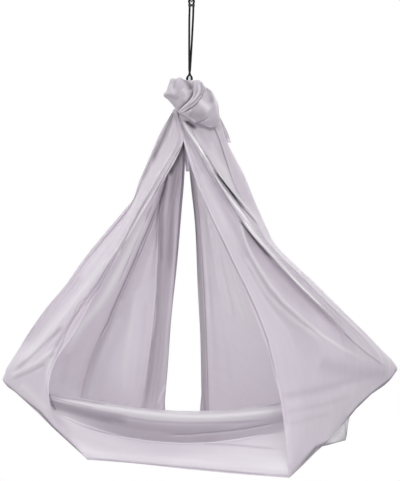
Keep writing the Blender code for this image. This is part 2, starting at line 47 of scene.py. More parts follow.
# The cloth as a whole, in metres where nothing else is said
NECK_Z = -0.4320             # where it leaves the knot
LEAN = 0.0350                # how far it hangs back for each unit down
TRICOT_WIDTH, TAIL_WIDTH = 1.50, 0.05    # between its hems before it was hung
WALL, THIN = 0.0010, 0.45    # thickness at the hems, and its share away from them
HEM_REACH = 0.0095           # how far the hems reach in from the edge
HEM_PLACE, HEM_WIDTH, HEM_HEIGHT = 0.0050, 0.0040, 0.8   # the height in millimetres
# Where the stitch groove runs and how wide, and how much shade is painted along it
STITCH_PLACE, STITCH_WIDTH, STITCH_PAINTED_SHADE = 0.0105, 0.0014, 0.10
GATHER, DRAPE = 0.7 * MM, 0.9 * MM       # heights of the gathers at the knot and of fine waves
PLEAT = 4 * MM               # depth of the pleats in the free ends
# A fold's fading along its line, in shares of the line, and its profile across the line, in
# picture elements, with the places and widths of its painted shadow and painted highlight
FADE_IN, FADE_OUT = 0.07, 0.78
EDGE_DROP = 0.45
SHADOW_PLACE, SHADOW_WIDTH = -0.5, 0.75
SHINE_PLACE, SHINE_WIDTH = 0.9, 0.8
# A knot fold's dome: over 2 for a flatter face and a steeper rim than a ball's, and how late its
# creases die out toward the rim
FLATNESS, RIM_FADE = 3.6, 8
# The sling, in metres
BAR, CORD, GAP = 0.0080, 0.0064, 0.0003
UPPER_BAR, SLING_LENGTH, SLING_LEAN = -0.0910, 0.2362, -0.0063
LOWER_BAR = UPPER_BAR - SLING_LENGTH
STRAND_SPREAD, SLEEVE_HEIGHT, SLEEVE_DROP = 0.0057, 0.0060, 0.0125
# How its two strands wind round each other: share of its length, strand to axis in cord
# diameters, and turn in degrees
STRAND_TWIST = [(0.20, 0.89, 2), (0.38, 0.77, 12), (0.60, 0.66, 36), (0.80, 0.57, 60),
                (0.90, 0.54, 78), (0.942, 0.54, 108), (0.960, 0.56, 150)]
BRAID_HEIGHT, BRAID_PITCH = 0.00016, 0.0110
DIAMONDS_ROUND, DIAMONDS_ALONG = 8, 4    # round the cord, and along one pitch of the braid
# Studio
FLOOR_Z, FLOOR_RADIUS = -2.05, 14.0
AMBIENT, SKY_RISE = 0.70, 0.58           # soft light at the horizon, and how much more above
GLOSSY_RISE = 0.25                       # how much more in reflections
LAMP_TARGET, LAMP_SIZE = (0.0, 0.0, -0.9), 1.2


def add_object(name, data):
    """A new object in the scene."""
    item = bpy.data.objects.new(name, data)
    bpy.context.scene.collection.objects.link(item)
    return item


# Camera
def make_camera():
    """A level camera in front of the hammock, at the photograph's distance and width."""
    data = bpy.data.cameras.new("front_camera")
    data.sensor_width = SENSOR
    data.lens = LENS
    camera = add_object("front_camera", data)
    camera.location = (VIEW_X, -VIEW_DISTANCE, VIEW_Z)
    camera.rotation_euler = (math.pi / 2, 0.0, 0.0)
    bpy.context.scene.camera = camera


def seen(across, down, depth):
    """The place at a depth in millimetres that the camera sees at (across, down). The depth is as
    drawn, before the cloth leans back."""
    depth = depth * MM
    scale = (VIEW_DISTANCE + depth) / VIEW_DISTANCE
    for _ in range(3):
        z = VIEW_Z - (down - MIDDLE_DOWN) * PIXEL * scale
        y = depth + LEAN * max(0.0, NECK_Z - z)
        scale = (VIEW_DISTANCE + y) / VIEW_DISTANCE
    return (VIEW_X + (across - MIDDLE_ACROSS) * PIXEL * scale, y, z)


def in_frame(places):
    """Where the camera sees an array of places: across and down."""
    scale = (VIEW_DISTANCE + places[..., 1]) / VIEW_DISTANCE
    across = MIDDLE_ACROSS + (places[..., 0] - VIEW_X) / (PIXEL * scale)
    down = MIDDLE_DOWN - (places[..., 2] - VIEW_Z) / (PIXEL * scale)
    return np.stack((across, down), axis=-1)


# Shader maths and materials
class Value:
    """A shader socket that Python's operators work on."""

    def __init__(self, tree, socket):
        self.tree = tree
        self.socket = socket

    def maths(self, operation, *others):
        node = self.tree.nodes.new("ShaderNodeMath")
        node.operation = operation
        for slot, item in zip(node.inputs, (self, *others)):
            plug(self.tree, slot, item)
        return Value(self.tree, node.outputs[0])

    def __add__(self, other):
        return self.maths("ADD", other)

    def __sub__(self, other):
        return self.maths("SUBTRACT", other)

    def __rsub__(self, other):
        return self * -1.0 + other

    def __mul__(self, other):
        return self.maths("MULTIPLY", other)

    def __pow__(self, other):
        return self.maths("POWER", other)

    __radd__ = __add__
    __rmul__ = __mul__


def plug(tree, slot, item):
    """Link a value to an input, or set the input to a number, colour or vector."""
    if isinstance(item, Value):
        tree.links.new(item.socket, slot)
    elif hasattr(item, "__len__") and len(item) == 3 and len(slot.default_value) == 4:
        slot.default_value = (*item, 1.0)
    else:
        slot.default_value = item


class Graph:
    """A node tree whose nodes come from one method."""

    def __init__(self, tree):
        self.tree = tree

    def node(self, kind, settings=None, output=0, **inputs):
        """A new node's output. An input is given by its label, or by n and its number."""
        node = self.tree.nodes.new("ShaderNode" + kind)
        for key, value in (settings or {}).items():
            setattr(node, key, value)
        for key, item in inputs.items():
            key = int(key[1:]) if key[0] == "n" and key[1:].isdigit() else key.replace("_", " ")
            plug(self.tree, node.inputs[key], item)
        return Value(self.tree, node.outputs[output])


class Finish(Graph):
    """A material with one Principled shader."""

    def __init__(self, name, **constants):
        self.material = bpy.data.materials.new(name)
        self.material.use_nodes = True
        super().__init__(self.material.node_tree)
        self.shader = self.tree.nodes["Principled BSDF"]
        self.set(**constants)

    def set(self, **sockets):
        for name, item in sockets.items():
            plug(self.tree, self.shader.inputs[name.replace("_", " ")], item)

    def place(self, scale=(1, 1, 1), uv=None):
        """Coordinates on the piece: its own Object coordinates in metres, or a UV map."""
        if uv:
            source = self.node("UVMap", {"uv_map": uv})
        else:
            source = self.node("TexCoord", output="Object")
        return self.node("Mapping", Vector=source, Scale=scale)

    def noise(self, where, scale, detail=2.0, roughness=0.5):
        return self.node("TexNoise", Vector=where, Scale=scale, Detail=detail,
                         Roughness=roughness)

    def mix(self, factor, first, second):
        return self.node("Mix", {"data_type": "RGBA"}, output=2, Factor=factor, n6=first,
                         n7=second)

    def bump(self, height, distance, strength, under=None):
        """Raise the surface, over an earlier bump where one is given."""
        extra = {"Normal": under} if under else {}
        value = self.node("Bump", Height=height, Distance=distance, Strength=strength, **extra)
        self.set(Normal=value)
        return value


def satin_cloth(name, dark, pale):
    """Pale mauve satin tricot: fine ribs along the cloth, soft streaks and a silky sheen. The
    folds'
    shade and highlights are painted on it: painted shadow darkens its colour, and a painted
    highlight pales it and adds a metallic sheen.
    """
    cloth = Finish(name, Subsurface_Weight=1.0, Subsurface_Radius=(1, 1, 1),
                   Subsurface_Scale=0.0023, Specular_IOR_Level=0.5, Sheen_Weight=0.08,
                   Sheen_Roughness=0.35, Sheen_Tint=(0.95, 0.92, 0.97))
    along = cloth.place(uv="cloth")
    streaks = cloth.noise(cloth.place(uv="cloth", scale=(60, 5, 1)), 1.0, 3.0, 0.6)
    clouds = cloth.noise(along, 5.0)
    tone = clouds * 0.6 + streaks * 0.4
    # Painted shade and highlight: the folds' painted shadows darken the colour toward near black,
    # and their painted highlights pale it and make it partly metallic
    crease = cloth.node("Attribute", {"attribute_name": "crease"}, output=2)
    painted_highlight = (crease * -1.0).maths("MAXIMUM", 0.0)
    lit = cloth.mix(painted_highlight, cloth.mix(tone, dark, pale), (0.93, 0.91, 0.94))
    cloth.set(Base_Color=cloth.mix(crease.maths("MAXIMUM", 0.0), lit, (0.060, 0.046, 0.058)),
              Metallic=painted_highlight * painted_highlight * 0.6, Roughness=streaks * 0.14 + 0.27)
    rib = cloth.node("TexWave", {"wave_type": "BANDS", "bands_direction": "X"}, output=1,
                     Vector=along, Scale=420.0, Distortion=0.6, Detail=1.0)
    knit = cloth.noise(along, 1400.0, 1.0)
    crinkle = cloth.noise(cloth.place(uv="cloth", scale=(90, 28, 1)), 1.0, 3.0, 0.55)
    fine = cloth.bump(rib * 0.6 + knit * 0.4, 0.00006, 0.6)
    cloth.bump(crinkle, 0.0012, 0.5, under=fine)
    return cloth.material


def black_cord():
    """Black braided polyester: a diamond weave with paler worn crowns."""
    cord = Finish("black_braid", Specular_IOR_Level=0.25)
    weave = cord.node("TexVoronoi", {"feature": "F1"}, Vector=cord.place(uv="cord"), Scale=1.0)
    fuzz = cord.noise(cord.place(), 2500.0)
    cord.set(Base_Color=cord.mix(fuzz * weave, (0.002, 0.002, 0.003), (0.012, 0.012, 0.014)),
             Roughness=fuzz * 0.25 + 0.50)
    cord.bump(weave * -1.0 + fuzz * 0.4, 0.0003, 0.7)
    return cord.material


def shrink_sleeve():
    """Black shrunk plastic with a faint grain."""
    sleeve = Finish("black_sleeve")
    grain = sleeve.noise(sleeve.place(), 900.0, 3.0)
    sleeve.set(Base_Color=sleeve.mix(grain, (0.014, 0.014, 0.015), (0.030, 0.030, 0.032)),
               Roughness=grain * 0.2 + 0.42)
    sleeve.bump(grain, 0.0002, 0.4)
    return sleeve.material


def steel(name, base, roughness):
    """Zinc-plated steel with fine draw marks along the bar and a few darker rubs."""
    metal = Finish(name, Metallic=1.0)
    marks = metal.noise(metal.place(scale=(900, 900, 60)), 1.0, 3.0, 0.6)
    rubs = metal.noise(metal.place(), 120.0)
    darker = tuple(0.72 * part for part in base)
    metal.set(Base_Color=metal.mix(rubs, darker, base),
              Roughness=marks * 0.16 + rubs * 0.10 + roughness)
    metal.bump(marks, 0.00004, 0.5)
    return metal.material


# Curves and grids
def through(points, shares, sharp=()):
    """Points of a smooth curve through the given ones. shares holds (segment, part) pairs; at a
    sharp point the curve turns at a corner."""
    points = np.asarray(points, dtype=float)
    moves = np.diff(points, axis=0)
    steps = np.maximum(np.linalg.norm(moves, axis=-1), 1e-6)[..., None]
    runs = moves / steps
    inner = (runs[:-1] * steps[1:] + runs[1:] * steps[:-1]) / (steps[:-1] + steps[1:])
    tangents = np.concatenate((runs[:1], inner, runs[-1:]))
    result = []
    for segment, part in shares:
        a, b, h = points[segment], points[segment + 1], steps[segment]
        ta = runs[segment] if segment in sharp else tangents[segment]
        tb = runs[segment] if segment + 1 in sharp else tangents[segment + 1]
        t2, t3 = part * part, part ** 3
        result.append((2 * t3 - 3 * t2 + 1) * a + (t3 - 2 * t2 + part) * h * ta
                      + (3 * t2 - 2 * t3) * b + (t3 - t2) * h * tb)
    return np.array(result)


def lengths_along(points):
    """Distance run from the start of a line of points to each of them."""
    return np.concatenate(([0.0], np.cumsum(np.linalg.norm(np.diff(points, axis=0), axis=1))))


def spread(points, count, bias=1.0):
    """Resample a curve to even steps of its own length, or closer ones at its start."""
    fine = through(points, [(k, t) for k in range(len(points) - 1)
                            for t in np.linspace(0, 1, 12, endpoint=False)] +
                   [(len(points) - 2, 1.0)])
    run = lengths_along(fine)
    places = run[-1] * np.linspace(0.0, 1.0, count) ** bias
    return np.stack([np.interp(places, run, fine[:, axis]) for axis in range(3)], axis=1)


def face_directions(grid):
    """Unit normals of a grid of points."""
    normal = np.cross(np.gradient(grid, axis=1), np.gradient(grid, axis=0))
    return normal / np.maximum(np.linalg.norm(normal, axis=-1, keepdims=True), 1e-9)


def running(grid, axis):
    """Distance run along an axis of a grid of points."""
    step = np.linalg.norm(np.diff(grid, axis=axis), axis=-1)
    zero = np.zeros_like(np.take(step, [0], axis=axis))
    return np.cumsum(np.concatenate((zero, step), axis=axis), axis=axis)


def cell_area(grid):
    """Area of a grid of points."""
    a = np.cross(grid[1:, :-1] - grid[:-1, :-1], grid[:-1, 1:] - grid[:-1, :-1])
    b = np.cross(grid[:-1, 1:] - grid[1:, 1:], grid[1:, :-1] - grid[1:, 1:])
    return 0.5 * (np.linalg.norm(a, axis=-1).sum() + np.linalg.norm(b, axis=-1).sum())


def ease(value, low, high):
    """Smooth step from 0 at low to 1 at high."""
    t = np.clip((value - low) / (high - low), 0.0, 1.0)
    return t * t * (3 - 2 * t)


# Folds
# A fold is one flat row: its kind, its width in picture elements, its height in millimetres, its
# painted shadow, its painted highlight, and then across and down of each point of the line that
# the camera sees. The shadow and highlight are painted into the cloth's colour and sheen. A ridge
# runs along the line. A left or right fold ends at the line, with the cloth on that side on top.
# A shade is painted shade alone, with no height, beside the line on one side: for a line that
# runs down, right is right, and for one that runs to the right, right is above.
def stroke_reach(marks, line):
    """Distance in picture elements from places to a drawn line, how far along they lie, and on
    which side: 1 to the right of a line that runs down, -1 to its left."""
    best = np.full(marks.shape[:-1], 1e9)
    share = np.zeros_like(best)
    side = np.zeros_like(best)
    lengths = np.linalg.norm(np.diff(line, axis=0), axis=1)
    before = lengths_along(line)
    for k, (a, b) in enumerate(zip(line, line[1:])):
        step = b - a
        t = np.clip(((marks - a) @ step) / (step @ step), 0.0, 1.0)
        gap = np.linalg.norm(marks - (a + t[..., None] * step), axis=-1)
        away = step[1] * (marks[..., 0] - a[0]) - step[0] * (marks[..., 1] - a[1])
        share = np.where(gap < best, (before[k] + t * lengths[k]) / before[-1], share)
        side = np.where(gap < best, np.sign(away), side)
        best = np.minimum(best, gap)
    return best, share, side


def carve(marks, folds):
    """How far folds raise places toward the camera, in metres, and the shade and highlight painted
    along them: up to 1 for a painted shadow, down to -1 for a painted highlight on a bright edge."""
    toward = np.zeros(marks.shape[:-1])
    dark = np.zeros_like(toward)
    bright = np.zeros_like(toward)
    for kind, width, height, painted_shadow, painted_highlight, *line in folds:
        gap, run, side = stroke_reach(marks, np.reshape(line, (-1, 2)).astype(float))
        fade = ease(run, 0.0, FADE_IN) * (1 - ease(run, FADE_OUT, 1.0))
        over = gap * (side if kind.endswith("right") else -side)
        if kind == "ridge":
            raised = lit = shaded = np.exp(-(gap / width) ** 2)
        elif kind.startswith("shade"):
            lit = shaded = ease(over, -0.5, 0.6) * (1 - ease(over, 0.45 * width, width))
            raised = 0.0
        else:
            raised = np.where(over > 0, np.exp(-(np.abs(over) / width) ** 1.2),
                              np.exp(-(over / EDGE_DROP) ** 2))
            shaded = np.exp(-((over - SHADOW_PLACE) / SHADOW_WIDTH) ** 2)
            lit = np.exp(-((over - SHINE_PLACE) / SHINE_WIDTH) ** 2)
        toward += fade * raised * height * MM
        # Painted shadow and painted highlight, which the finish turns into darker or paler colour
        # and metallic sheen
        dark = np.maximum(dark, fade * painted_shadow * shaded)
        bright = np.maximum(bright, fade * painted_highlight * lit)
    crease = (dark ** 3 - bright ** 3) / (dark ** 2 + bright ** 2 + 1e-6)
    return toward, crease


LEFT_FRONT_FOLDS = [
    ("ridge", 2.6, -3, 0.62, 0, 174, 111, 169.5, 123, 164, 136, 157.5, 150, 150, 168),
    ("shade left", 9, 0, 0.22, 0, 175, 110, 171.5, 126, 166.5, 139, 158.5, 152, 151.5, 166, 140,
     188),
    ("right", 4, 3, 0.35, 0.15, 175.5, 112, 171.5, 126, 166.5, 139, 158.5, 152, 151.5, 166),
    ("ridge", 3, 2, 0, 0.15, 170, 118, 160, 139, 148, 163, 136, 192, 122, 219),
    ("ridge", 3.2, 3, 0, 0.42, 175, 150, 166.5, 166, 156.5, 184, 147.5, 201, 140, 215, 127.5, 236,
     115, 255, 102, 271),
    ("left", 2.5, 2.6, 0.46, 0.1, 182.5, 143, 177, 153, 171.8, 162, 166.2, 172, 161, 181, 155.6,
     191, 150.6, 200, 146, 208, 141.2, 217, 134.6, 228, 128, 240, 122, 250),
    ("left", 3, 3.4, 0.4, 0.12, 129, 233, 125, 242, 121, 249, 116, 256, 113, 261, 108, 270, 103,
     279, 98, 288, 94, 293, 89, 300, 82, 307),
    ("ridge", 1.2, 1.2, 0, 0.25, 181.5, 149, 177.5, 156, 172.8, 164.5, 167.6, 174, 162.6, 183,
     157.6, 193, 152.8, 202, 147.8, 211, 142.8, 219),
    ("ridge", 2, 1, 0.12, 0, 110, 262, 98, 281, 86, 296),
    ("right", 1.6, 1.6, 0.26, 0.2, 89, 297, 82, 301, 77.5, 307, 73.5, 316),
    ("right", 2.2, 2.2, 0.34, 0.2, 81, 309, 76, 316, 70.5, 325, 66.5, 333, 63, 343, 58.5, 352, 55,
     363),
    ("ridge", 3.5, 4.4, 0, 0.26, 112, 254, 98, 272, 80, 294, 62, 317, 44, 339, 26, 359, 8, 374),
    ("ridge", 2.2, -4.6, 0.3, 0, 64, 326, 48, 341, 30, 358, 10, 375),
    ("ridge", 2.2, 4, 0, 0.42, 58, 347, 40, 361, 22, 371, 6, 378),
    ("ridge", 1.6, -3, 0.24, 0, 46, 364, 30, 372, 10, 380),
    ("ridge", 5, -2, 0.16, 0, 84, 275, 62, 300, 40, 326, 18, 352),
    ("ridge", 3, 2, 0, 0.3, 50, 356, 48, 372, 50, 390),
    ("ridge", 4, 1.5, 0, 0.2, 20, 384, 36, 398, 50, 414),
    ("ridge", 1.3, 0, 0.75, 0, 3, 376, 3, 382, 15, 392, 27, 402, 40, 412, 52, 426, 70, 443, 88,
     459),
    ("left", 1.4, 1, 0.22, 0.12, 52, 408, 58, 420, 68, 432, 82, 446, 94, 458),
]
LEFT_BACK_FOLDS = [
    ("ridge", 2.6, -3, 0.5, 0, 174, 111, 169.5, 123, 164, 136, 157.5, 150, 150, 168),
    ("ridge", 3.4, -3, 0.95, 0, 184, 139, 182, 148, 177, 160, 172, 170, 168, 180),
    ("ridge", 5, 0, 0.46, 0, 184, 140, 180, 156, 175, 172, 172, 200, 170, 240, 168, 290),
    ("ridge", 9, 0, 0.26, 0, 176, 150, 171, 200, 167, 260, 162, 330, 158, 380, 152, 440),
    ("left", 3, 5, 0.46, 0, 168.5, 174, 166, 181, 162.5, 191, 159.5, 202, 159, 214, 158.5, 235,
     158, 255),
    ("ridge", 2.8, -3, 0.52, 0, 168, 172, 166.5, 186, 163.8, 200, 162.3, 214, 161.8, 240, 161.2,
     280),
    ("left", 3, 4, 0.42, 0.22, 158.8, 207, 159, 220, 158.5, 240, 158, 256, 157, 272, 156.5, 290,
     155, 305, 153.5, 320, 152, 335, 150, 350, 148, 366, 145.5, 382, 142.5, 396, 139.5, 408),
    ("ridge", 3.6, -2, 0.4, 0, 161.5, 220, 161, 260, 159.5, 290, 157, 320, 154, 345, 151, 370,
     145, 404, 140, 430),
    ("ridge", 2.2, 2, 0, 0.16, 176, 190, 175, 240, 172, 290, 168, 340),
    ("ridge", 1.7, 0, 0.3, 0, 184, 140, 183.4, 170, 181, 205, 177.5, 250, 172.5, 310, 169, 355,
     166.5, 400, 164, 450),
    ("ridge", 1.6, -2, 0.1, 0, 181, 170, 180, 210, 177, 260, 172, 320),
    ("ridge", 3.2, 2, 0, 0.42, 148, 214, 141, 228, 131, 247, 119, 271, 107, 293, 97, 308, 85, 322,
     76, 335, 70, 347, 64, 362),
    ("shade left", 30, 0, 0.1, 0, 146, 234, 139, 250, 128, 276, 116, 303, 104, 330, 91, 358, 83.5,
     382, 76, 430),
    ("shade left", 7, 0, 0.12, 0, 158, 205, 152, 219, 146, 234, 139, 250, 128, 276, 116, 303),
    ("right", 2.2, 2.6, 0.48, 0.16, 154, 203, 149.5, 213, 146, 221, 142.5, 229, 139.5, 236, 136,
     244, 133, 251, 129.5, 259, 126, 267, 121, 278, 116, 289),
    ("right", 3, 4, 0.58, 0.22, 159, 203, 155.5, 212, 152, 219.5, 149, 227, 146, 234, 142.5, 242,
     139, 250, 136, 258, 132, 267, 128, 276, 124, 285, 120, 294, 116, 303, 112.5, 311, 108, 323,
     102, 334, 96, 346, 91, 358),
    ("ridge", 2.6, 2, 0, 0.32, 122, 298, 117, 310, 114, 320, 109, 331, 102, 344),
    ("ridge", 1.3, -1, 0.24, 0, 104, 330, 96, 346, 89.5, 362, 84, 382, 80, 404, 78, 430),
    ("ridge", 5.5, 0, 0, 0.26, 118, 314, 109, 336, 101, 352, 94, 370, 90, 392, 88, 420),
    ("ridge", 5, 0, 0.12, 0, 70, 352, 66, 372, 62, 390),
    ("ridge", 4, 2, 0, 0.14, 135, 285, 130, 330, 124, 368, 120, 400),
    ("ridge", 3, -1.5, 0.08, 0, 146, 300, 141, 350, 134, 400),
    ("ridge", 1.5, -2, 0.22, 0, 161, 378, 155, 388, 149, 398),
    ("ridge", 1.6, 2.2, 0, 0.2, 166, 384, 161, 394, 157, 406),
]
RIGHT_FRONT_FOLDS = [
    ("ridge", 1.5, 0, 0.46, 0, 183, 141, 186.5, 154, 190, 166, 194, 177, 199, 188),
    ("ridge", 4, 0, 0.1, 0, 280, 260, 300, 276, 330, 302, 360, 330, 392, 360),
    ("ridge", 2.1, -5, 1, 0, 176, 110.5, 180, 115, 183.5, 118.4, 187, 121.6, 190, 124, 194, 126.8,
     199, 130),
    ("shade left", 9, 0, 0.2, 0, 180, 116, 186, 128, 195, 143, 204, 157, 216, 180, 228, 199, 241,
     217),
    ("shade right", 16, 0, 0.14, 0, 188, 124, 200, 138, 214, 154, 230, 176),
    ("shade right", 26, 0, 0.13, 0, 196, 122, 204, 127, 214, 130, 222, 134),
    ("shade right", 10, 0, 0.12, 0, 216, 130, 223, 150, 230, 171, 238, 190, 250, 212, 262, 228),
    ("right", 2.6, 3, 0.22, 0, 178, 114.5, 180.5, 121, 183.5, 127.5, 188, 135, 193, 143, 198, 151,
     202, 157, 207, 164),
    ("ridge", 1.2, 2, 0, 1, 179, 111, 182, 118, 186, 127, 191, 134.6, 196, 142.2, 201, 150, 205.6,
     157.5, 211, 166, 216, 173.5),
    ("ridge", 1.2, 1.5, 0, 0.78, 199, 150, 204, 157, 210, 167, 216.5, 177.5, 223, 187.5, 230,
     197.6, 237.5, 208, 245, 217.5, 252, 227, 260, 237),
    ("right", 2.2, 4.5, 0.3, 0.45, 201, 152, 205, 158, 210, 165, 215, 171, 222, 179, 230, 189,
     240, 201, 250, 212, 258, 222),
    ("left", 2.2, 1.5, 0, 0.3, 205, 159, 209, 166, 213.5, 173, 219, 180.5, 226, 190, 235, 201,
     246, 214),
    ("ridge", 0.95, -6, 0.98, 0, 215.6, 172.4, 220, 178, 226.6, 186.4, 235, 197, 241, 204.5),
    ("ridge", 0.8, -3, 0.62, 0, 230, 191, 235, 197.5, 241, 205.5, 247, 212, 253, 219, 260, 227),
    ("right", 1.6, 3, 0.34, 0, 200, 154, 204, 162, 208.5, 170, 214, 179.5, 220, 189.5, 226, 198.5,
     232, 207, 239, 216),
    ("right", 2.2, 5, 0.22, 0.62, 239, 219, 245, 226.5, 251, 233.5, 261, 245, 271, 256.5, 281,
     267.5, 291, 279, 301, 289.5, 311, 299.5, 321, 309, 334, 322),
    ("ridge", 1.1, -4, 0.8, 0, 240, 220, 244, 226.5, 249, 233, 256, 241.5, 264, 251, 274, 262),
    ("ridge", 1.2, 1, 0, 0.8, 241, 217, 246, 223.5, 252, 231, 262, 243, 272, 254, 283, 266, 295,
     280, 307, 292, 320, 305, 334, 319),
    ("ridge", 1.4, 1.5, 0, 0.52, 239, 218, 242, 228, 247, 245, 252, 256, 258, 266, 270, 285, 285,
     303, 302, 319, 322, 335, 345, 350, 372, 362),
    ("ridge", 5, -2, 0.15, 0, 243, 226, 250, 241, 258, 255, 269, 270, 284, 288, 302, 305, 322, 322),
    ("left", 2.2, 4, 0.12, 0.36, 240.5, 221, 244.5, 234, 248.5, 245, 254, 256, 259.5, 266, 265.5,
     276, 271.5, 285, 278.5, 294, 286, 302, 294.5, 310, 304, 318, 314, 326, 325, 334, 338, 342),
    ("ridge", 2.8, -3.4, 0.15, 0, 243, 244, 248, 257, 255, 269, 262, 280, 268, 289, 276, 299, 285,
     308, 295, 317, 307, 326, 319, 335, 332, 344),
    ("ridge", 3.4, 2.4, 0, 0.15, 244, 255, 254, 275, 264, 292, 277, 307, 292, 319, 312, 334, 330,
     346),
    ("right", 1.6, 1.8, 0.4, 0.14, 343, 331, 347, 335, 356, 343.5, 366, 352, 374, 358, 382, 363.5,
     390, 368.5),
    ("right", 2.4, 4, 0.6, 0.1, 213.5, 125, 217, 133, 220.5, 142, 223.5, 151, 226.5, 160, 229.5,
     169, 232.5, 178.5, 236, 187, 241, 197, 247, 207),
    ("ridge", 2.6, -2, 0.2, 0, 222, 150, 228, 166, 233, 182, 240, 196, 249, 210),
    ("ridge", 4, 2, 0, 0.14, 208, 140, 218, 160, 228, 178, 240, 196),
    ("ridge", 3.2, -1.5, 0.18, 0, 199, 130, 206, 140, 213, 152),
    ("ridge", 1.2, -2, 0.34, 0, 198, 125, 207, 128.5, 214, 130),
    ("right", 1.8, 1.8, 0.1, 0.5, 177, 114, 178.8, 124, 182.5, 138, 187.5, 155, 192.3, 171, 197,
     184, 202, 195, 208, 208),
    ("right", 1.8, 1.2, 0.42, 0.26, 195, 180, 203, 198, 208, 208.5, 213, 219, 218, 230, 224.5,
     243, 231, 257, 238, 271, 245, 285, 251.5, 299, 257.5, 312, 263, 326, 268, 340, 271, 352, 274,
     365, 277.5, 382, 280, 396),
    ("ridge", 4, -1.5, 0.1, 0, 206, 180, 222, 205, 238, 235, 254, 270),
    ("ridge", 4, 1.5, 0, 0.14, 200, 172, 214, 200, 230, 232, 244, 262),
    ("ridge", 4.2, -4, 0.14, 0, 279, 399, 300, 395.5, 322, 390.5, 346, 383.5, 366, 378, 382, 375,
     394, 371),
    ("ridge", 2, -1.5, 0.09, 0, 284, 413, 310, 408, 335, 402, 354, 395),
    ("ridge", 9, 0, 0.17, 0, 318, 362, 335, 368, 365, 374, 400, 374),
    ("ridge", 2, -1, 0.08, 0, 288, 425, 310, 419, 334, 413),
    ("ridge", 2.2, 1.5, 0, 0.2, 286, 424, 288, 445, 291, 470),
    ("ridge", 3, -1.5, 0.14, 0, 348, 414, 338, 429, 328, 440),
    ("ridge", 1.5, 0, 0.85, 0, 394, 362, 397.5, 368, 395.5, 374.5, 390, 380, 380, 387.5, 369,
     396.5, 359, 405.5, 350, 416, 340.5, 429.5, 331, 441.5, 321, 445.5, 316, 448, 304.5, 460.5,
     293.5, 472.5, 289, 477),
]
RIGHT_BACK_FOLDS = [
    ("left", 2, 3, 0.55, 0.1, 193, 174, 195, 184, 196.5, 198, 198.5, 216, 200, 240, 202, 265,
     203.5, 290, 205, 320, 206, 350, 207, 380, 207.5, 410, 208, 445, 208.5, 490),
    ("ridge", 3, 0, 0.62, 0, 189, 156, 193.5, 190, 196, 215, 198.5, 250, 201, 290, 203, 330, 204,
     370, 205, 410, 205.5, 445, 206, 490),
    ("ridge", 2.2, 1.5, 0, 0.14, 203, 215, 206, 250, 209, 290, 211, 330),
    ("ridge", 1.8, 3, 0, 0.2, 216, 232, 220, 258, 224.5, 280, 229, 300, 233, 322),
    ("ridge", 1.8, 3, 0, 0.18, 222, 246, 228, 268, 234, 290, 240, 308, 247, 328),
    ("ridge", 7, 0, 0, 0.1, 214, 225, 226, 262, 238, 296, 249, 332),
    ("ridge", 1.5, -2, 0.08, 0, 220, 250, 226, 280, 232, 302, 238, 324),
    ("ridge", 1.2, 1.5, 0, 0.12, 230, 262, 238, 284, 248, 308),
]
SEAT_FOLDS = [
    ("shade right", 27, 0, 0.26, 0, 10, 390, 46, 408, 57, 415, 75, 422, 100, 431, 125, 438, 150,
     442, 181, 444, 213, 443, 240, 440, 262, 435.5),
    ("shade right", 19, 0, 0.19, 0, 190, 444, 213, 443, 240, 440, 262, 435.5, 284, 430, 340, 412),
    ("ridge", 4.6, 0, 0.46, 0, 34, 393, 52, 401.5, 62, 405, 76, 409, 92, 413, 112, 417, 140, 421),
    ("ridge", 6, 0, 0.46, 0, 30, 392, 46, 402, 60, 407, 76, 411, 100, 417, 130, 425),
    ("ridge", 3.5, 3, 0, 0.3, 30, 392, 56, 399.5, 80, 403.6, 100, 407, 125, 411.5, 150, 414.6,
     180, 416.8, 215, 417, 245, 415, 262, 413.2, 284, 410.4, 330, 404),
    ("ridge", 4, 0, 0.15, 0, 50, 442, 84, 456, 120, 459, 160, 462.6, 212, 467.6, 250, 471, 290,
     475, 340, 480),
    ("ridge", 6, 0, 0.16, 0, 50, 406, 60, 424, 70, 438, 84, 456),
    ("ridge", 7, 0, 0.1, 0, 60, 430, 90, 445, 130, 452, 200, 458),
    ("left", 2, 2, 0.55, 0, 48, 397, 56, 399.5, 66, 402, 80, 405, 100, 409.5),
    ("ridge", 3.6, 0, 0.45, 0, 44, 396, 53, 402, 60, 406.5, 76, 411, 104, 418, 140, 426),
    ("ridge", 1.2, 0, 0.9, 0, 48, 393, 51, 399, 52.5, 405, 57, 413),
    ("ridge", 1.1, -1, 0.34, 0, 49, 395, 60, 397.4, 74, 399.3, 90, 402, 112, 405.5),
    ("ridge", 1.2, 1, 0, 0.35, 49, 391.5, 62, 394, 78, 397, 94, 400.5),
    ("ridge", 1.6, -1.5, 0.26, 0, 96, 412, 125, 417.6, 150, 421.5, 185, 423.5, 215, 423, 240,
     422.4, 262, 420.6, 284, 417.6),
    ("ridge", 3, -1, 0.22, 0, 60, 411, 80, 417, 105, 423, 135, 429, 165, 432.5, 190, 434),
    ("ridge", 1.5, -4, 0.42, 0, 168, 435, 190, 434.5, 212, 432.5, 232, 430.6, 256, 427, 284, 421.4),
    ("right", 1.6, 1.5, 0.14, 0.34, 54, 414, 68, 419, 80, 424, 100, 431, 125, 438, 150, 442, 181,
     444, 213, 443.2, 240, 440, 262, 435.5, 287, 429),
    ("ridge", 1.1, -2, 0.26, 0, 200, 443.5, 226, 444.5, 250, 446.5, 284, 449.5),
    ("ridge", 0.9, -1.5, 0.34, 0, 232, 409.4, 252, 406.8, 270, 405.2, 286, 403.6),
    ("ridge", 0.8, -1, 0.3, 0, 252, 404.6, 268, 402.4, 286, 400.8),
    ("ridge", 0.8, 0, 0.4, 0, 86, 458.5, 120, 461.5, 160, 465, 212, 470, 250, 473.3, 290, 477.3),
]
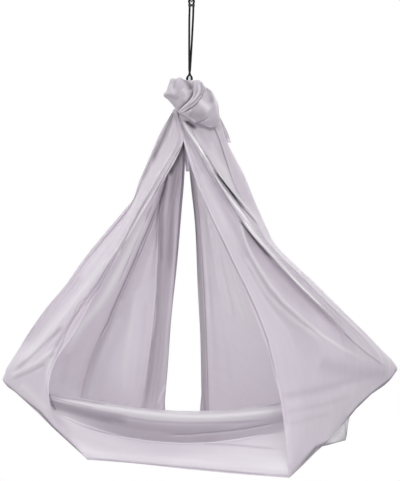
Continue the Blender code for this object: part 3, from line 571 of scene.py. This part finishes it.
# The seat's back corner: painted dark lines along its edges and a painted highlight, with no height
BACK_CORNER = [
    ("ridge", 1.2, 0, 0.75, 0, 312, 448, 317, 447.5, 326, 445, 332, 443.6, 347, 440.6, 356, 438.5),
    ("ridge", 1.2, 0, 0.75, 0, 343.4, 412, 345, 425, 346.4, 433, 347.6, 441, 349, 450),
    ("ridge", 3.4, 0, 0, 0.8, 348, 418, 343, 431, 338, 437, 328, 445),
]
# In front of the hanging fold and behind it
FOLDS = {
    "left": (LEFT_FRONT_FOLDS, LEFT_BACK_FOLDS),
    "right": (RIGHT_FRONT_FOLDS, RIGHT_BACK_FOLDS),
    "seat": (SEAT_FOLDS + BACK_CORNER, BACK_CORNER),
}

# Cloth
# Each guide line is one flat row of across, down and depth in millimetres. They run from the front
# hem over the hanging fold to the back hem: down a leg from the knot, and over the seat from left
# to right, between the legs' last points.
LEFT = [
    (177, 109, -26, 180.5, 128, -44, 183.3, 140, -54, 181.8, 146, -58, 176.5, 158, -66, 165, 178,
     -80, 143, 212, -106, 117, 258, -140, 94, 297, -166, 73, 336, -190, 56, 361, -205, 49.5, 381,
     -214, 49.5, 400, -224, 54, 417, -233, 66, 434, -242, 88, 460, -250),
    (176.5, 109, -26, 180, 132, -46, 180.6, 142, -53, 174.5, 152.5, -61, 161, 176, -78, 140.5,
     209, -104, 120.5, 249, -130, 108, 268, -144, 96, 288, -156, 83, 305, -166, 68, 328, -180, 54,
     352, -192, 44, 376, -206, 43, 398, -218, 54, 424, -232, 76, 449, -244),
    (176, 109, -25, 177.8, 140, -54, 162.1, 170, -82, 141.4, 205, -111, 119.4, 245, -137, 105.9,
     266, -150, 94.7, 284, -161, 81.4, 302, -169, 69.1, 320, -178, 54.3, 344, -190, 40, 370, -204,
     38, 398, -214, 50, 424, -226, 64, 438, -234),
    (175.5, 109, -24, 174.9, 140, -53, 159.6, 170, -82, 139.7, 205, -108, 116.1, 245, -135, 102.1,
     266, -147, 90.7, 284, -156, 77.2, 302, -164, 64.7, 320, -173, 49.6, 344, -186, 32, 366, -196,
     32, 394, -206, 42, 416, -216, 51, 426, -222),
    (175, 109, -22, 171, 140, -50, 156.3, 170, -74, 137.4, 205, -96, 111.8, 245, -121, 97.2, 266,
     -132, 85.5, 284, -140, 71.6, 302, -148, 58.8, 320, -157, 43.4, 344, -169, 25, 366, -180, 24,
     386, -190, 30, 404, -198, 38, 413, -205),
    (174.5, 109, -18, 167, 140, -42, 152.8, 170, -60, 135, 205, -79, 107.2, 245, -101, 92, 266,
     -112, 80, 284, -120, 65.7, 302, -130, 52.7, 320, -138, 36.9, 344, -150, 19, 364, -162, 17,
     380, -172, 20, 394, -180, 26, 402, -185),
    (174, 109, -14, 163.4, 140, -32, 149.8, 170, -46, 132.9, 205, -63, 103.1, 245, -83, 87.4, 266,
     -94, 75.1, 284, -102, 60.5, 302, -111, 47.2, 320, -120, 31.1, 344, -131, 16, 362, -142, 10,
     374, -150, 12, 384, -156, 15, 392, -160),
    (173.7, 109, -10, 160.2, 140, -24, 147, 170, -33, 131, 205, -48, 99.5, 245, -66, 83.3, 266,
     -78, 70.8, 284, -86, 56, 302, -94, 42.4, 320, -102, 26, 344, -111, 12, 361, -118, 6, 370,
     -122, 5, 378, -127, 7, 386, -132),
    (174, 109, -4, 161, 133, -18, 151.5, 155, -26, 140, 182, -36, 132, 202, -46, 123.5, 213, -51,
     105, 235, -60, 84, 261, -73, 67, 285, -82, 46, 310, -92, 25, 340, -100, 14, 356.5, -105, 7,
     368, -108, 3, 380.5, -110),
    (174, 109, 8, 162, 140, 15, 136, 204, 12, 90, 272, 8, 54, 326, 2, 34, 372, 0, 40, 408, -10),
    (175.5, 109, 14, 170, 150, 34, 156, 206, 58, 146, 236, 70, 129, 275, 84, 118, 300, 92, 107,
     328, 98, 94, 355, 100, 86, 378, 98, 80, 400, 92, 63.8, 427.9, 60),
    (176.5, 109, 18, 172, 150, 38, 160, 206, 48, 149.5, 236, 54, 133, 275, 64, 122.5, 300, 70,
     111.5, 328, 76, 98.5, 355, 80, 91, 378, 82, 86, 402, 84, 80, 436, 95),
    (178, 109, 24, 175, 150, 36, 166, 180, 36, 158.5, 207, 38, 158.8, 250, 42, 157, 280, 46, 155,
     325, 52, 150.5, 350, 58, 147, 375, 64, 141.5, 405, 74, 98, 442, 128),
    (179.5, 109, 27, 181, 150, 56, 176, 185, 66, 170, 220, 76, 168, 260, 84, 164, 310, 94, 161,
     350, 104, 157, 382, 116, 153, 410, 128, 149, 426, 136, 122, 442, 158),
    (181, 109, 30, 185, 158, 75, 184, 182, 88, 182, 205, 105, 177, 262, 130, 171, 320, 155, 167.5,
     370, 172, 165, 400, 178, 163.5, 424, 182, 143.2, 441.6, 186),
]
RIGHT = [
    (177.5, 110, -28, 178.8, 122, -36, 183, 140, -48, 189, 160, -66, 197.5, 184, -84, 205.3, 203,
     -98, 212, 222, -112, 222, 245, -126, 240, 281, -147, 250, 304, -160, 261, 332, -177, 268,
     350, -187, 274, 375, -202, 280, 397, -218, 283, 417, -232, 285.5, 440, -243, 289.3, 478, -250),
    (178.7, 110, -29, 180.5, 122, -36, 187.5, 140, -46, 200, 170, -66, 214, 200, -86, 228, 225,
     -104, 238, 250, -116, 252, 275, -128, 268, 302, -142, 284, 322, -154, 296, 345, -170, 300,
     380, -194, 302, 420, -222, 302, 466, -244),
    (179.7, 110, -30, 182.5, 124, -38, 190, 138, -48, 203, 163, -68, 218, 190, -88, 233, 214,
     -104, 241, 228, -112, 247, 247, -122, 257, 268, -134, 270, 287, -146, 282, 301, -154, 292,
     310, -160, 310, 326, -170, 322, 345, -182, 322, 390, -208, 318, 430, -228, 315, 453, -236),
    (180, 110, -30, 184, 124, -39, 192, 137, -49, 205, 161, -70, 220, 187, -88, 235, 211, -103,
     243, 223, -106, 252, 236, -108, 263, 249, -111, 280, 268, -116, 300, 289, -124, 320, 309,
     -134, 338, 330, -146, 346, 360, -168, 338, 405, -204, 329, 440, -222),
    (180.5, 110, -32, 185, 124, -41, 193, 137, -52, 206, 160, -75, 221, 186, -98, 236, 211, -114,
     244, 223, -122, 253, 235, -128, 264, 247, -134, 281, 266, -142, 301, 287, -149, 321, 306,
     -154, 340, 325, -158, 356, 342, -164, 358, 380, -185, 343, 425, -205),
    (181.2, 109, -32, 186.5, 123, -42, 195, 137, -54, 207, 156, -71, 220, 177, -84, 232, 193, -94,
     241.5, 207, -104, 250, 222, -120, 262.5, 240, -132, 276.5, 256, -141, 300.5, 280, -149, 322,
     302, -154, 342.5, 322, -157, 363, 343, -158, 372, 372, -168, 356, 409, -185),
    (182.5, 109, -34, 188.5, 123, -43, 196, 138, -56, 208, 157, -78, 221, 177, -100, 233, 192,
     -108, 245, 208, -114, 256, 222, -122, 266, 240, -130, 280, 256, -136, 305, 280, -143, 327,
     302, -148, 348, 322, -151, 369, 343, -150, 382, 362, -152, 371, 394.5, -160),
    (205, 109, -24, 214, 133, -42, 222, 152, -52, 230, 170, -62, 238, 189, -72, 246, 205, -82,
     259.5, 222, -92, 268.5, 240, -98, 283, 256, -104, 309, 280, -112, 331.5, 302, -118, 353, 322,
     -122, 374, 343, -126, 389, 363, -128, 389.5, 380.5, -130),
    (216, 109, -6, 221, 124, -10, 228.4, 145.6, -20, 242, 172, -30, 256.5, 207, -45, 266, 228,
     -55, 271.5, 240, -60, 277.5, 248, -64, 291.5, 262, -72, 311, 280, -80, 349, 317, -94, 362.5,
     330, -98, 378.6, 346.6, -102, 391, 360, -106, 397, 370, -110),
    (214, 109, 8, 222, 141, 15, 250, 205, 10, 290, 272, 5, 328, 318, 0, 356, 358, 0, 353.8, 405.3,
     -10),
    (207, 109, 20, 213, 150, 45, 228, 206, 60, 250, 270, 75, 275, 330, 85, 300, 380, 90, 345.7,
     440.2, 60),
    (201, 109, 23, 206, 150, 50, 217, 208, 72, 233, 275, 90, 250, 335, 104, 267, 385, 112, 318,
     447, 92),
    (195, 109, 26, 200, 155, 55, 208, 212, 84, 219, 280, 100, 229, 340, 116, 238, 390, 130, 286.2,
     447, 122),
    (189, 109, 28, 191.5, 150, 60, 196.5, 182, 74, 200.5, 225, 90, 204.5, 287, 104, 206.8, 350,
     122, 208.5, 405, 138, 210, 426, 144, 258, 445, 156),
    (186, 109, 30, 188.5, 160, 88, 190.8, 184, 100, 194.5, 215, 118, 197.8, 287, 150, 200.3, 337,
     168, 201.5, 390, 178, 202.5, 424, 182, 230.5, 441.6, 186),
]
SEAT = [
    (120, 462, -252, 195.5, 470, -254, 264, 476, -252),
    (112, 455, -236, 195, 462, -236, 263, 468, -236),
    (108, 447, -205, 195, 455, -203, 263, 458, -205),
    (106, 439, -160, 195, 449, -155, 262, 445, -160),
    (104, 433, -128, 195, 443, -120, 262, 435, -128),
    (102, 423, -140, 195, 433, -138, 262, 426, -140),
    (101, 412, -162, 195, 422.5, -164, 262, 417, -162),
    (92, 404, -160, 195, 415, -162, 262, 410, -160),
    (82, 399, -134, 195, 411.3, -130, 262, 406, -134),
    (110, 420.7, -30, 196, 424.3, -30, 270.4, 420.1, -30),
    (116, 437.4, 88, 194.5, 439.9, 90, 272.9, 440.6, 86),
    (127, 441, 118, 192, 443, 120, 256, 443.5, 116),
    (139.5, 444.9, 148, 189.9, 446.2, 150, 239, 446.2, 146),
    (151, 445, 170, 188.5, 446, 173, 226, 445.5, 169),
    (162, 444.4, 192, 186.9, 445.7, 196, 212.4, 444.4, 192),
]
HANGING_FOLD = 8             # index of the guide line that the cloth hangs over
COLUMNS = {
    "left": [24, 12, 14, 14, 14, 14, 16, 18, 8, 34, 14, 46, 32, 26],
    "right": [34, 18, 20, 22, 22, 20, 22, 20, 6, 6, 8, 12, 34, 40],
    "seat": [20, 16, 18, 22, 26, 22, 26, 26, 14, 10, 12, 12, 12, 12],
}
SHARP = {"left": (12,), "right": (3, 4, 5, 6, 10, 13), "seat": (4, 10)}
ROWS = 167
ROW_BIAS = {"left": 1.15, "right": 1.15, "seat": 1.0}    # over 1: rows closer near the knot


def column_shares(part):
    """(segment, share) of every grid column of a stretch, closer together beside each guide."""
    shares = []
    for segment, count in enumerate(COLUMNS[part]):
        for k in range(count):
            even, eased = k / count, 0.5 - 0.5 * math.cos(math.pi * k / count)
            shares.append((segment, 0.5 * (even + eased)))
    shares.append((len(COLUMNS[part]) - 1, 1.0))
    return shares


def cloth_grid(lines, part):
    """The grid of one stretch of cloth, from guide lines along it."""
    along = np.array([spread([seen(*point) for point in np.reshape(line, (-1, 3))], ROWS,
                             ROW_BIAS[part]) for line in lines])
    return through(along, column_shares(part), SHARP[part]).transpose(1, 0, 2)


def stretches():
    """The left leg, right leg and seat of the cloth as grids that meet at their corner folds."""
    seat = [(*left[-3:], *middle, *right[-3:]) for left, middle, right in zip(LEFT, SEAT, RIGHT)]
    return {part: cloth_grid(lines, part)
            for part, lines in (("left", LEFT), ("right", RIGHT), ("seat", seat))}


def relief(grid, part):
    """Raise folds, gathers, hems and fine drape lines on a stretch of cloth.

    Returns the raised grid and the shade painted at each point: up to 1 for a painted shadow,
    down to -1 for a painted highlight, with a little painted shade along the stitches.
    """
    marks = in_frame(grid)
    rows, columns = grid.shape[:2]
    split = sum(COLUMNS[part][:HANGING_FOLD])
    front, back = FOLDS[part]
    halves = carve(marks[:, :split], front), carve(marks[:, split:], back)
    toward, shade = (np.concatenate(pair, axis=1) for pair in zip(*halves))
    lift = np.zeros((rows, columns))
    if part != "seat":
        share = np.linspace(0, 1, rows)[:, None]
        phase = np.linspace(0, 1, columns)[None, :] * 2 * math.pi
        gather = np.sin(17 * phase) + 0.6 * np.sin(29 * phase + 2.0) + 0.4 * np.sin(41 * phase)
        lift += GATHER * gather * ease(share, 0.0, 0.04) * np.exp(-(share / 0.20) ** 1.5)
        drape = (np.sin(7.3 * phase + 3 * share) + 0.7 * np.sin(12.7 * phase + 1.0 - 4 * share)
                 + 0.5 * np.sin(21.0 * phase + 2.0 + 6 * share))
        lift += DRAPE * drape * ease(share, 0.05, 0.3) * (1 - ease(share, 0.7, 1.0))
    edge = running(grid, 1)
    for reach in (edge, edge[:, -1:] - edge):
        hem = np.exp(-((reach - HEM_PLACE) / HEM_WIDTH) ** 2) * HEM_HEIGHT
        stitch = np.exp(-((reach - STITCH_PLACE) / STITCH_WIDTH) ** 2)
        lift += (hem - HEM_HEIGHT * stitch) * MM
        # A little shade is painted along the stitch groove
        shade = shade + STITCH_PAINTED_SHADE * stitch
    raised = grid + face_directions(grid) * lift[..., None]
    raised[..., 1] -= toward
    return raised, shade


def shade_points(mesh, shade):
    """Give a mesh the painted shade and highlight of each of its points, which its finish turns
    into colour and sheen.
    """
    crease = mesh.attributes.new(name="crease", type="FLOAT", domain="POINT")
    crease.data.foreach_set("value", np.ravel(shade).astype(np.float32))


def make_sheet(name, node, grid, shade, finish, width):
    """A thin closed shell of cloth from a grid of points, with a UV map in metres."""
    rows, columns = grid.shape[:2]
    mesh = bpy.data.meshes.new(name)
    index = np.arange(rows * columns).reshape(rows, columns)
    quads = np.stack((index[:-1, :-1], index[:-1, 1:], index[1:, 1:], index[1:, :-1]), axis=-1)
    mesh.from_pydata(grid.reshape(-1, 3).tolist(), [], quads.reshape(-1, 4).tolist())
    across = running(grid, 1)
    flat = np.stack((across, running(grid, 0)), axis=-1).reshape(-1, 2)
    corners = np.zeros(len(mesh.loops), dtype=np.int32)
    mesh.loops.foreach_get("vertex_index", corners)
    mesh.uv_layers.new(name="cloth").data.foreach_set("uv", flat[corners].ravel())
    shade_points(mesh, shade)
    mesh.shade_smooth()
    sheet = add_object(name, mesh)
    group = sheet.vertex_groups.new(name="thickness")
    edge = np.minimum(across, across[:, -1:] - across).ravel()
    group.add(np.nonzero(edge < HEM_REACH)[0].tolist(), 1.0, "REPLACE")
    group.add(np.nonzero(edge >= HEM_REACH)[0].tolist(), THIN, "REPLACE")
    wall = sheet.modifiers.new("wall", "SOLIDIFY")
    wall.thickness = WALL
    wall.offset = 0.0
    wall.vertex_group = group.name
    for other in bpy.context.selected_objects:
        other.select_set(False)
    bpy.context.view_layer.objects.active = sheet
    sheet.select_set(True)
    bpy.ops.object.modifier_apply(modifier=wall.name)
    sheet.select_set(False)
    sheet.data.materials.append(finish)
    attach(sheet, "hammock")
    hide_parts(node)
    cell_area(grid) / width


def make_cloth(finishes):
    """The spread cloth: left leg, right leg and seat."""
    names = {"left": "left_leg", "right": "right_leg", "seat": "seat"}
    for part, grid in stretches().items():
        raised, shade = relief(grid, part)
        make_sheet(names[part] + "_cloth", "cloth_" + names[part], raised, shade, finishes[part],
                   TRICOT_WIDTH)


def make_tail(name, node, finish, route, widths):
    """A free end of the cloth: a narrow, softly pleated strip, with painted shade along its edges
    and a painted highlight across its end for a hem.
    """
    rows, columns = 60, 36
    spine = spread([seen(*point) for point in route], rows)[:, None]
    wide = np.interp(np.linspace(0, 1, rows), np.linspace(0, 1, len(widths)), widths) * MM
    across = np.linspace(-0.5, 0.5, columns)
    row = np.arange(rows)[:, None]
    pleat = PLEAT * np.cos(3 * math.pi * across + row * 0.02)
    grid = np.stack((spine[..., 0] + across * wide[:, None], spine[..., 1] + pleat,
                     spine[..., 2] + 0 * across), axis=-1)
    # Painted shade along the strip's edges, and a painted highlight across its end where a hem
    # would be
    painted_edge_shade = 0.45 * np.exp(-((0.5 - np.abs(across)) / 0.07) ** 2)
    painted_hem_highlight = 0.5 * np.exp(-((row - rows + 5) / 3.0) ** 2)
    make_sheet(name, node, grid, painted_edge_shade - painted_hem_highlight, finish, TAIL_WIDTH)


# Knot
def face_outward(mesh, layer_name, place_of):
    """Turn a closed mesh's faces outward and give each corner its place on a UV map."""
    bm = bmesh.new()
    bm.from_mesh(mesh)
    bmesh.ops.recalc_face_normals(bm, faces=bm.faces)
    layer = bm.loops.layers.uv.new(layer_name)
    for face in bm.faces:
        for loop in face.loops:
            loop[layer].uv = place_of(loop.vert, face)
    bm.to_mesh(mesh)
    bm.free()
    mesh.shade_smooth()


def make_knot_fold(name, finish, outline, depths, front_folds, back_folds):
    """A closed fold of the knot from its outline, domed to the front and back, with raised creases
    and their painted shade and highlights. The depths are the rim's, and how far the front and back
    stand off it, in millimetres."""
    rings, sides = 40, 200
    middle, front, back = depths
    outline = np.reshape(outline, (-1, 2))
    outline = np.hstack((outline, np.zeros((len(outline), 1))))
    ring = np.concatenate((outline[-3:], outline, outline[:4]))
    shares = [(3 + k, t) for k in range(len(outline)) for t in (0.0, 0.25, 0.5, 0.75)]
    rim = through(ring, shares)[:, :2]
    closed = np.vstack((rim, rim[:1]))
    total = lengths_along(closed)
    even = np.linspace(0, total[-1], sides, endpoint=False)
    rim = np.stack([np.interp(even, total, closed[:, axis]) for axis in (0, 1)], axis=1)
    centre = rim.mean(axis=0)
    reach = [math.sin(math.pi / 2 * k / rings) for k in range(1, rings + 1)]
    verts, faces, shade = [], [], []

    def add_ring(share, bulge):
        marks = centre + (rim - centre) * share
        toward, crease = carve(marks, front_folds if bulge < 0 else back_folds)
        dome = middle + bulge * math.sqrt(max(0.0, 1 - share ** FLATNESS))
        depth = dome + math.copysign(1.0, bulge) * toward / MM * (1 - share ** RIM_FADE)
        start = len(verts)
        verts.extend(seen(m[0], m[1], d) for m, d in zip(marks, depth))
        shade.extend(crease)
        return start

    rim_start = add_ring(1.0, front)
    for bulge in (front, back):
        before = rim_start
        for share in reversed(reach[:-1]):
            start = add_ring(share, bulge)
            for k in range(sides):
                n = (k + 1) % sides
                faces.append((before + k, before + n, start + n, start + k))
            before = start
        verts.append(np.mean(verts[before:before + sides], axis=0).tolist())
        shade.append(0.0)
        faces += [(before + k, before + (k + 1) % sides, len(verts) - 1) for k in range(sides)]
    mesh = bpy.data.meshes.new(name + "_cloth")
    mesh.from_pydata(verts, [], faces)
    shade_points(mesh, shade)
    face_outward(mesh, "cloth", lambda vert, _: (vert.co.x * 0.7 + vert.co.z * 0.7,
                                                 vert.co.x * -0.7 + vert.co.z * 0.7))
    mesh.materials.append(finish)
    fold = add_object(name + "_cloth", mesh)
    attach(fold, "hammock")
    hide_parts(name)


# Each fold's outline, its depths, and the folds on its front and back
KNOT = {
    "knot_lobe": [
        (172, 77.7, 175.5, 78.6, 180, 76.9, 184, 79.6, 189, 80.2, 194, 80.6, 198, 84, 198, 91,
         193, 99, 186, 107, 178, 111.5, 173, 105.5, 168, 99.8, 163.2, 95.2, 166.3, 90.5, 168.3,
         84.7),
        (-50, -32, 32),
        [("ridge", 0.7, -1, 0.42, 0, 193.5, 79, 195.2, 84, 194, 90, 190.8, 96.5, 186.8, 102,
          180.5, 108, 176, 112),
         ("ridge", 2.6, -5, 0.6, 0, 183, 77, 187, 82, 190, 86, 193, 91),
         ("ridge", 0.8, -1.5, 0.3, 0, 184, 80, 187, 84, 192, 86.5),
         ("ridge", 2.6, 2.5, 0, 0.3, 182, 89, 186, 93, 188, 97, 184, 102),
         ("ridge", 2.4, 2, 0, 0.22, 171, 84, 171.5, 90, 176, 95),
         ("ridge", 2.2, -2.5, 0.16, 0, 165, 95, 170, 97, 176, 99, 181, 98),
         ("ridge", 1.6, -2, 0.22, 0, 176, 79, 174.5, 84, 173.5, 90),
         ("ridge", 1.2, 0, 0.3, 0, 163.5, 95, 168, 100, 173, 105.5, 177, 111)],
        [],
    ],
    "knot_bulge": [
        (196, 83, 201, 83.5, 206, 87, 209.5, 89, 213, 92.5, 215.7, 98, 218.4, 104.4, 219.3, 113.4,
         220, 121.5, 214.5, 127.4, 208, 127, 201, 123.5, 195.5, 124, 188, 117.4, 181, 112.8, 184,
         105, 190, 94),
        (-44, -36, 32),
        [("ridge", 0.7, -1.5, 0.66, 0, 202.8, 81, 204, 87, 203.2, 92, 200.6, 98, 197, 103, 191,
          107.8, 184.5, 111.5, 178, 115),
         ("ridge", 2.6, -1.5, 0.34, 0, 206, 88, 210, 93, 212, 99, 212.5, 105),
         ("ridge", 1.6, 2.5, 0, 0.3, 212, 91, 214.5, 98, 217, 106, 218, 116),
         ("ridge", 3.4, 3, 0, 0.42, 199, 100, 202, 104, 206, 107, 211, 112),
         ("ridge", 4.4, -2, 0.24, 0, 189, 114, 195, 116, 202, 116, 207, 114),
         ("left", 1.6, 2, 0.5, 0.3, 195, 124.5, 199, 122.6, 204, 120.6, 210, 116.5),
         ("ridge", 1, 1, 0, 0.65, 199, 123, 203, 124.6, 208, 126.4, 214, 127),
         ("ridge", 1, 1.5, 0, 0.6, 180, 112, 186, 115.2, 192, 119.8, 197, 123.2),
         ("ridge", 1, 1.5, 0, 0.4, 182, 113, 188, 112, 193, 109.5)],
        [],
    ],
    "knot_wrap": [
        (194, 80.4, 198.5, 79.8, 202.3, 82.4, 204.2, 87.2, 203.4, 93, 200.4, 99.4, 195.4, 105,
         188.6, 109.2, 182, 113, 177.5, 112.3, 180.6, 109, 187, 103, 191.8, 96.8, 194.8, 89.8,
         195.8, 84.5),
        (-68, -22, 30),
        [("ridge", 1.3, 1.5, 0, 0.3, 199, 84, 199.6, 92, 195.5, 99, 188, 105),
         ("ridge", 0.8, 0.6, 0, 0.6, 195, 93, 191.5, 99, 186.5, 104.4, 181, 109, 175, 113.4),
         ("ridge", 0.8, 0.6, 0, 0.6, 202, 95, 198, 101, 192, 106, 185, 110.4, 174, 115),
         ("ridge", 0.9, -1.5, 0.26, 0, 201, 82, 202, 89, 199.6, 96, 193, 103, 185, 109),
         ("ridge", 0.7, -1, 0.22, 0, 197, 84, 197.3, 91, 193.5, 98, 186.5, 105)],
        [],
    ],
    "knot_core": [
        (173, 83, 182, 80.5, 192, 80.5, 202, 84, 210, 92, 216, 101, 219, 112, 219, 124, 200, 126,
         176, 122, 176, 113, 174, 106, 168, 98, 169, 90),
        (14, -66, 50),
        [],
        [("left", 3, 6, 0.55, 0.2, 190, 84, 198, 96, 206, 108),
         ("right", 3.5, 6, 0.5, 0.2, 178, 90, 186, 104, 196, 116),
         ("ridge", 3, 4, 0, 0.2, 184, 86, 192, 100, 202, 112)],
    ],
}


# Sling
def sling_route():
    """Centre line of the sling: from its joint in the sleeve round both bars and back."""
    bend = BAR / 2 + CORD / 2 + GAP
    sleeve = UPPER_BAR - SLEEVE_DROP
    top, end = SLEEVE_DROP - SLEEVE_HEIGHT / 2 - GAP, SLEEVE_DROP + SLEEVE_HEIGHT

    def strand(share, reach, turn, side):
        drop = SLING_LENGTH * share
        lean = SLING_LEAN * max(0.0, drop - end) / (SLING_LENGTH - end)
        angle = math.radians(turn)
        return (lean + side * reach * CORD * math.cos(angle),
                side * reach * CORD * math.sin(angle), UPPER_BAR - drop)

    route = [(-STRAND_SPREAD, 0, sleeve + GAP), (-STRAND_SPREAD, 0, UPPER_BAR - top)]
    for step in range(5):
        angle = math.pi * (1 - step / 4)
        route.append((bend * math.cos(angle), 0, UPPER_BAR + bend * math.sin(angle)))
    route += [(STRAND_SPREAD, 0, UPPER_BAR - drop) for drop in (top, SLEEVE_DROP, end)]
    route += [strand(*station, 1) for station in STRAND_TWIST]
    for step in range(7):
        angle = math.pi * (5 + 8 * step / 6) / 6
        route.append((SLING_LEAN + bend * math.cos(angle), 0, LOWER_BAR + bend * math.sin(angle)))
    route += [strand(*station, -1) for station in reversed(STRAND_TWIST)]
    return route + [(-STRAND_SPREAD, 0, UPPER_BAR - end), (-STRAND_SPREAD, 0, sleeve - GAP)]


def make_sling(finish):
    """The braided cord loop: a round tube with the braid's diamonds raised on it."""
    rings, sides = 1400, 28
    path = spread(sling_route(), rings)
    tangent = np.gradient(path, axis=0)
    tangent /= np.linalg.norm(tangent, axis=1, keepdims=True)
    depth = np.array((0.0, 1.0, 0.0))
    across = np.cross(tangent, depth)
    run = lengths_along(path)
    angles = np.linspace(0, 2 * math.pi, sides, endpoint=False)
    turns = run[:, None] / BRAID_PITCH * 2 * math.pi
    round_ = DIAMONDS_ROUND / 2 * angles
    weave = np.cos(round_ + turns) * np.cos(round_ - turns)
    out = CORD / 2 - 0.75 * BRAID_HEIGHT + BRAID_HEIGHT * weave
    ring = across[:, None] * np.cos(angles)[:, None] + depth * np.sin(angles)[:, None]
    verts = (path[:, None] + ring * out[..., None]).reshape(-1, 3)
    index = np.arange(rings * sides).reshape(rings, sides)
    following = np.roll(index, -1, axis=1)
    quads = np.stack((index[:-1], following[:-1], following[1:], index[1:]), axis=-1)
    ends = [index[0][::-1].tolist(), index[-1].tolist()]
    mesh = bpy.data.meshes.new("sling_cord_braid")
    mesh.from_pydata(verts.tolist(), [], quads.reshape(-1, 4).tolist() + ends)

    def place_of(vert, face):
        row, column = divmod(vert.index, sides)
        columns = [corner.index % sides for corner in face.verts]
        if column == 0 and len(columns) == 4 and max(columns) > 1:
            column = sides
        return column / sides * DIAMONDS_ROUND, run[row] / BRAID_PITCH * DIAMONDS_ALONG

    face_outward(mesh, "cord", place_of)
    mesh.materials.append(finish)
    cord = add_object("sling_cord_braid", mesh)
    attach(cord, "sling")
    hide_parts("sling_cord")


# Studio
def make_floor():
    """A pale floor under the hammock that fades away round it and isn't seen from below."""
    bm = bmesh.new()
    bmesh.ops.create_circle(bm, cap_ends=True, segments=96, radius=FLOOR_RADIUS)
    mesh = bpy.data.meshes.new("studio_floor")
    for vert in bm.verts:
        vert.co.z = FLOOR_Z
    bm.to_mesh(mesh)
    bm.free()
    paint = Finish("floor_paint", Roughness=0.9, Base_Color=(0.86, 0.86, 0.87))
    clear = paint.node("BsdfTransparent")
    where = paint.node("TexCoord", output="Object")
    x, y = (paint.node("SeparateXYZ", output=axis, Vector=where) for axis in "XY")
    far = paint.node("MapRange", {"interpolation_type": "SMOOTHSTEP"},
                     Value=(x * x + y * y) ** 0.5, From_Min=0.7, From_Max=2.4)
    under = paint.node("NewGeometry", output="Backfacing")
    fade = paint.node("MixShader", n0=far, n1=Value(paint.tree, paint.shader.outputs[0]),
                      n2=clear)
    show = paint.node("MixShader", n0=under, n1=fade, n2=clear)
    plug(paint.tree, paint.tree.nodes["Material Output"].inputs[0], show)
    mesh.materials.append(paint.material)
    add_object("studio_floor", mesh)


def make_world():
    """White to the camera and in reflections; a soft grey light for everything else."""
    world = bpy.data.worlds.new("studio")
    bpy.context.scene.world = world
    world.use_nodes = True
    sky = Graph(world.node_tree)
    direct, glossy, through_glass = (sky.node("LightPath", output=f"Is {ray} Ray")
                                     for ray in ("Camera", "Glossy", "Transmission"))
    white = direct.maths("MAXIMUM", through_glass)
    way = sky.node("TexCoord", output="Generated")
    height = sky.node("SeparateXYZ", output="Z", Vector=way)
    soft = height.maths("MAXIMUM", 0.0) * SKY_RISE + glossy * GLOSSY_RISE + AMBIENT
    back = sky.tree.nodes["Background"]
    plug(sky.tree, back.inputs["Color"], (1, 1, 1))
    plug(sky.tree, back.inputs["Strength"], white + (1 - white) * soft)


def make_softbox(name, place, power):
    """A square soft box that looks at the hammock."""
    data = bpy.data.lights.new(name, "AREA")
    data.shape = "SQUARE"
    data.size = LAMP_SIZE
    data.energy = power
    lamp = add_object(name, data)
    lamp.location = place
    lamp.rotation_mode = "QUATERNION"
    lamp.rotation_quaternion = (Vector(LAMP_TARGET) - Vector(place)).to_track_quat("-Z", "Y")


# Assembly
make_camera()
bpy.context.scene.view_settings.view_transform = "Standard"

# One satin in three copies: the knot's, also used for the free ends, is painted about 15% darker as
# shade for its stacked layers, and the seat's is painted a little greyer to offset the tint that
# light bouncing inside the pouch gives
leg_satin = satin_cloth("satin_cloth", (0.582, 0.518, 0.600), (0.690, 0.626, 0.706))
seat_satin = satin_cloth("seat_satin", (0.575, 0.528, 0.590), (0.683, 0.638, 0.698))
knot_satin = satin_cloth("knot_satin", (0.478, 0.436, 0.492), (0.592, 0.547, 0.605))
braid = black_cord()
sleeve_plastic = shrink_sleeve()
bright_steel = steel("bright_steel", (0.62, 0.63, 0.65), 0.16)
wire_steel = steel("wire_steel", (0.45, 0.46, 0.48), 0.26)

make_sling(braid)
make_cloth({"left": leg_satin, "right": leg_satin, "seat": seat_satin})
for knot_part, forms in KNOT.items():
    make_knot_fold(knot_part, knot_satin, *forms)
make_tail("side_tail_cloth", "cloth_side_tail", knot_satin,
          [(212.5, 112, 44), (217, 122, 46), (222.5, 132, 44), (227.5, 142.5, 42)],
          [30, 34, 30, 22])
make_tail("back_tail_cloth", "cloth_back_tail", knot_satin,
          [(186.5, 112, 50), (187, 131, 70), (187.6, 152, 92), (187.9, 171.5, 104)],
          [26, 30, 22, 12])
for name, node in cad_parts.items():
    if "spring" in name:
        finish = wire_steel
    elif name == "sling_sleeve":
        finish = sleeve_plastic
    elif name.startswith(("upper_", "lower_")):
        finish = bright_steel
    else:
        finish = leg_satin
    for slot in node.material_slots:
        slot.material = finish

make_floor()
make_world()
# A broad key from above the camera's left, and a weak fill from the right
make_softbox("key_softbox", (-1.5, -3.0, 1.9), 22)
make_softbox("fill_softbox", (1.2, -3.2, 1.6), 14)
